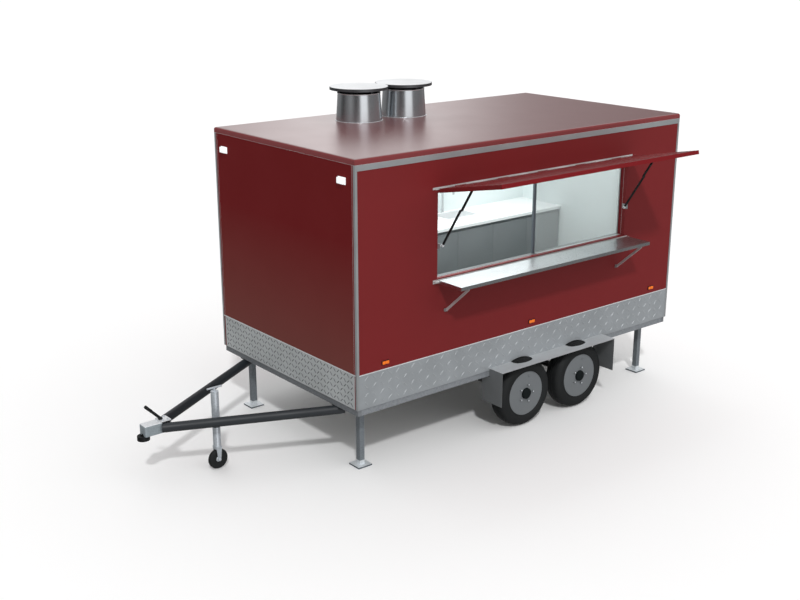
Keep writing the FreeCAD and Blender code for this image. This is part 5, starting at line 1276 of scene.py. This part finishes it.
ray = sky_node("LightPath")
direction = sky_node("SeparateXYZ")
sky.links.new(sky_node("TexCoord").outputs["Generated"], direction.inputs["Vector"])
bearing = sky_node("Math", operation="ARCTAN2")
sky.links.new(direction.outputs["Y"], bearing.inputs[0])
sky.links.new(direction.outputs["X"], bearing.inputs[1])
share = sky_node("MapRange")
share.inputs["From Min"].default_value = -math.pi
share.inputs["From Max"].default_value = math.pi
sky.links.new(bearing.outputs[0], share.inputs["Value"])
panels = sky_node("ValToRGB")
sky.links.new(share.outputs["Result"], panels.inputs["Fac"])
PANEL_STOPS = [(0.0, 0.2), (0.10, 0.12), (0.125, 0.2), (0.14, 0.9), (0.155, 0.9), (0.175, 0.3), (0.24, 0.2),
               (0.33, 0.16), (0.40, 0.04), (0.53, 0.24), (0.60, 0.05), (0.655, 0.12), (0.68, 0.95),
               (0.765, 0.9), (0.785, 0.17), (0.94, 0.15), (1.0, 0.2)]
stops = panels.color_ramp.elements
stops[0].position, stops[1].position = PANEL_STOPS[0][0], PANEL_STOPS[-1][0]
for stop, value in ((stops[0], PANEL_STOPS[0][1]), (stops[1], PANEL_STOPS[-1][1])):
    stop.color = (value, value, value, 1)
for position, value in PANEL_STOPS[1:-1]:
    stops.new(position).color = (value, value, value, 1)
ceiling = sky_node("MapRange")
ceiling.inputs["From Min"].default_value = 0.35
ceiling.inputs["From Max"].default_value = 0.75
sky.links.new(direction.outputs["Z"], ceiling.inputs["Value"])
mirrored = sky_node("Mix", data_type="RGBA")
sky.links.new(ceiling.outputs["Result"], mirrored.inputs["Factor"])
sky.links.new(panels.outputs["Color"], mirrored.inputs[6])
mirrored.inputs[7].default_value = (0.75, 0.75, 0.75, 1)
# the sky dims towards the nose, so the front wall stays darker than the serving side
dimmer = sky_node("MapRange")
dimmer.inputs["From Min"].default_value = -0.1
dimmer.inputs["To Min"].default_value = SKY_LEVEL
dimmer.inputs["To Max"].default_value = SKY_LEVEL * 0.12
sky.links.new(direction.outputs["X"], dimmer.inputs["Value"])
even = sky_node("Background")
sky.links.new(dimmer.outputs["Result"], even.inputs["Strength"])
ring = sky_node("Background")
ring.inputs["Strength"].default_value = 1.35
sky.links.new(mirrored.outputs[2], ring.inputs["Color"])
white = sky_node("Background")
white.inputs["Color"].default_value = (1, 1, 1, 1)
for_gloss = sky_node("MixShader")
sky.links.new(ray.outputs["Is Glossy Ray"], for_gloss.inputs["Fac"])
sky.links.new(even.outputs[0], for_gloss.inputs[1])
sky.links.new(ring.outputs[0], for_gloss.inputs[2])
seen = sky_node("Math", operation="MAXIMUM")
sky.links.new(ray.outputs["Is Camera Ray"], seen.inputs[0])
sky.links.new(ray.outputs["Is Transmission Ray"], seen.inputs[1])
for_camera = sky_node("MixShader")
sky.links.new(seen.outputs[0], for_camera.inputs["Fac"])
sky.links.new(for_gloss.outputs[0], for_camera.inputs[1])
sky.links.new(white.outputs[0], for_camera.inputs[2])
sky.links.new(for_camera.outputs[0], sky_node("OutputWorld").inputs["Surface"])

# %% Key lamp
KEY_BEARING = math.radians(56)
KEY_HEIGHT = math.radians(45)
key_data = bpy.data.lights.new("key_lamp", "SUN")
key_data.energy = 1.2
key_data.angle = math.radians(4.0)
key = bpy.data.objects.new("key_lamp", key_data)
toward = Vector((math.cos(KEY_HEIGHT) * math.cos(KEY_BEARING), math.cos(KEY_HEIGHT) * math.sin(KEY_BEARING),
                 math.sin(KEY_HEIGHT)))
key.rotation_euler = toward.to_track_quat("Z", "Y").to_euler()
key.location = toward * 12
bpy.context.scene.collection.objects.link(key)

# %% [markdown]
# ### Cabin lamp
# Daylight through one window leaves a box body gloomy, and these trailers have strip lamps in
# the ceiling. One wide soft lamp just under the lining does their work.

# %% Cabin lamp
cabin_data = bpy.data.lights.new("cabin_lamp", "AREA")
cabin_data.shape = "RECTANGLE"
cabin_data.size = 3.4
cabin_data.size_y = 1.5
cabin_data.energy = 46.0
cabin = bpy.data.objects.new("cabin_lamp", cabin_data)
cabin.location = (BODY_MIDDLE, 0, BODY_LOW.z - 0.03)
bpy.context.scene.collection.objects.link(cabin)

# %% [markdown]
# ## Camera
# It stands off the front corner on the serving side at about twice a person's height, looking
# down 17 degrees. The lens follows from the picture's width and its vanishing lines.

# %% Camera
camera_data = bpy.data.cameras.new("camera")
camera_data.sensor_width = 36
camera_data.lens = 51.29
camera_data.clip_end = 400
camera = bpy.data.objects.new("camera", camera_data)
camera.location = (3.757, 7.938, GROUND + 4.24)
camera.rotation_euler = (math.radians(90 - 17.3626), 0, math.radians(270 - 129.093))
bpy.context.scene.collection.objects.link(camera)
bpy.context.scene.camera = camera
bpy.context.scene.view_settings.view_transform = "Standard"
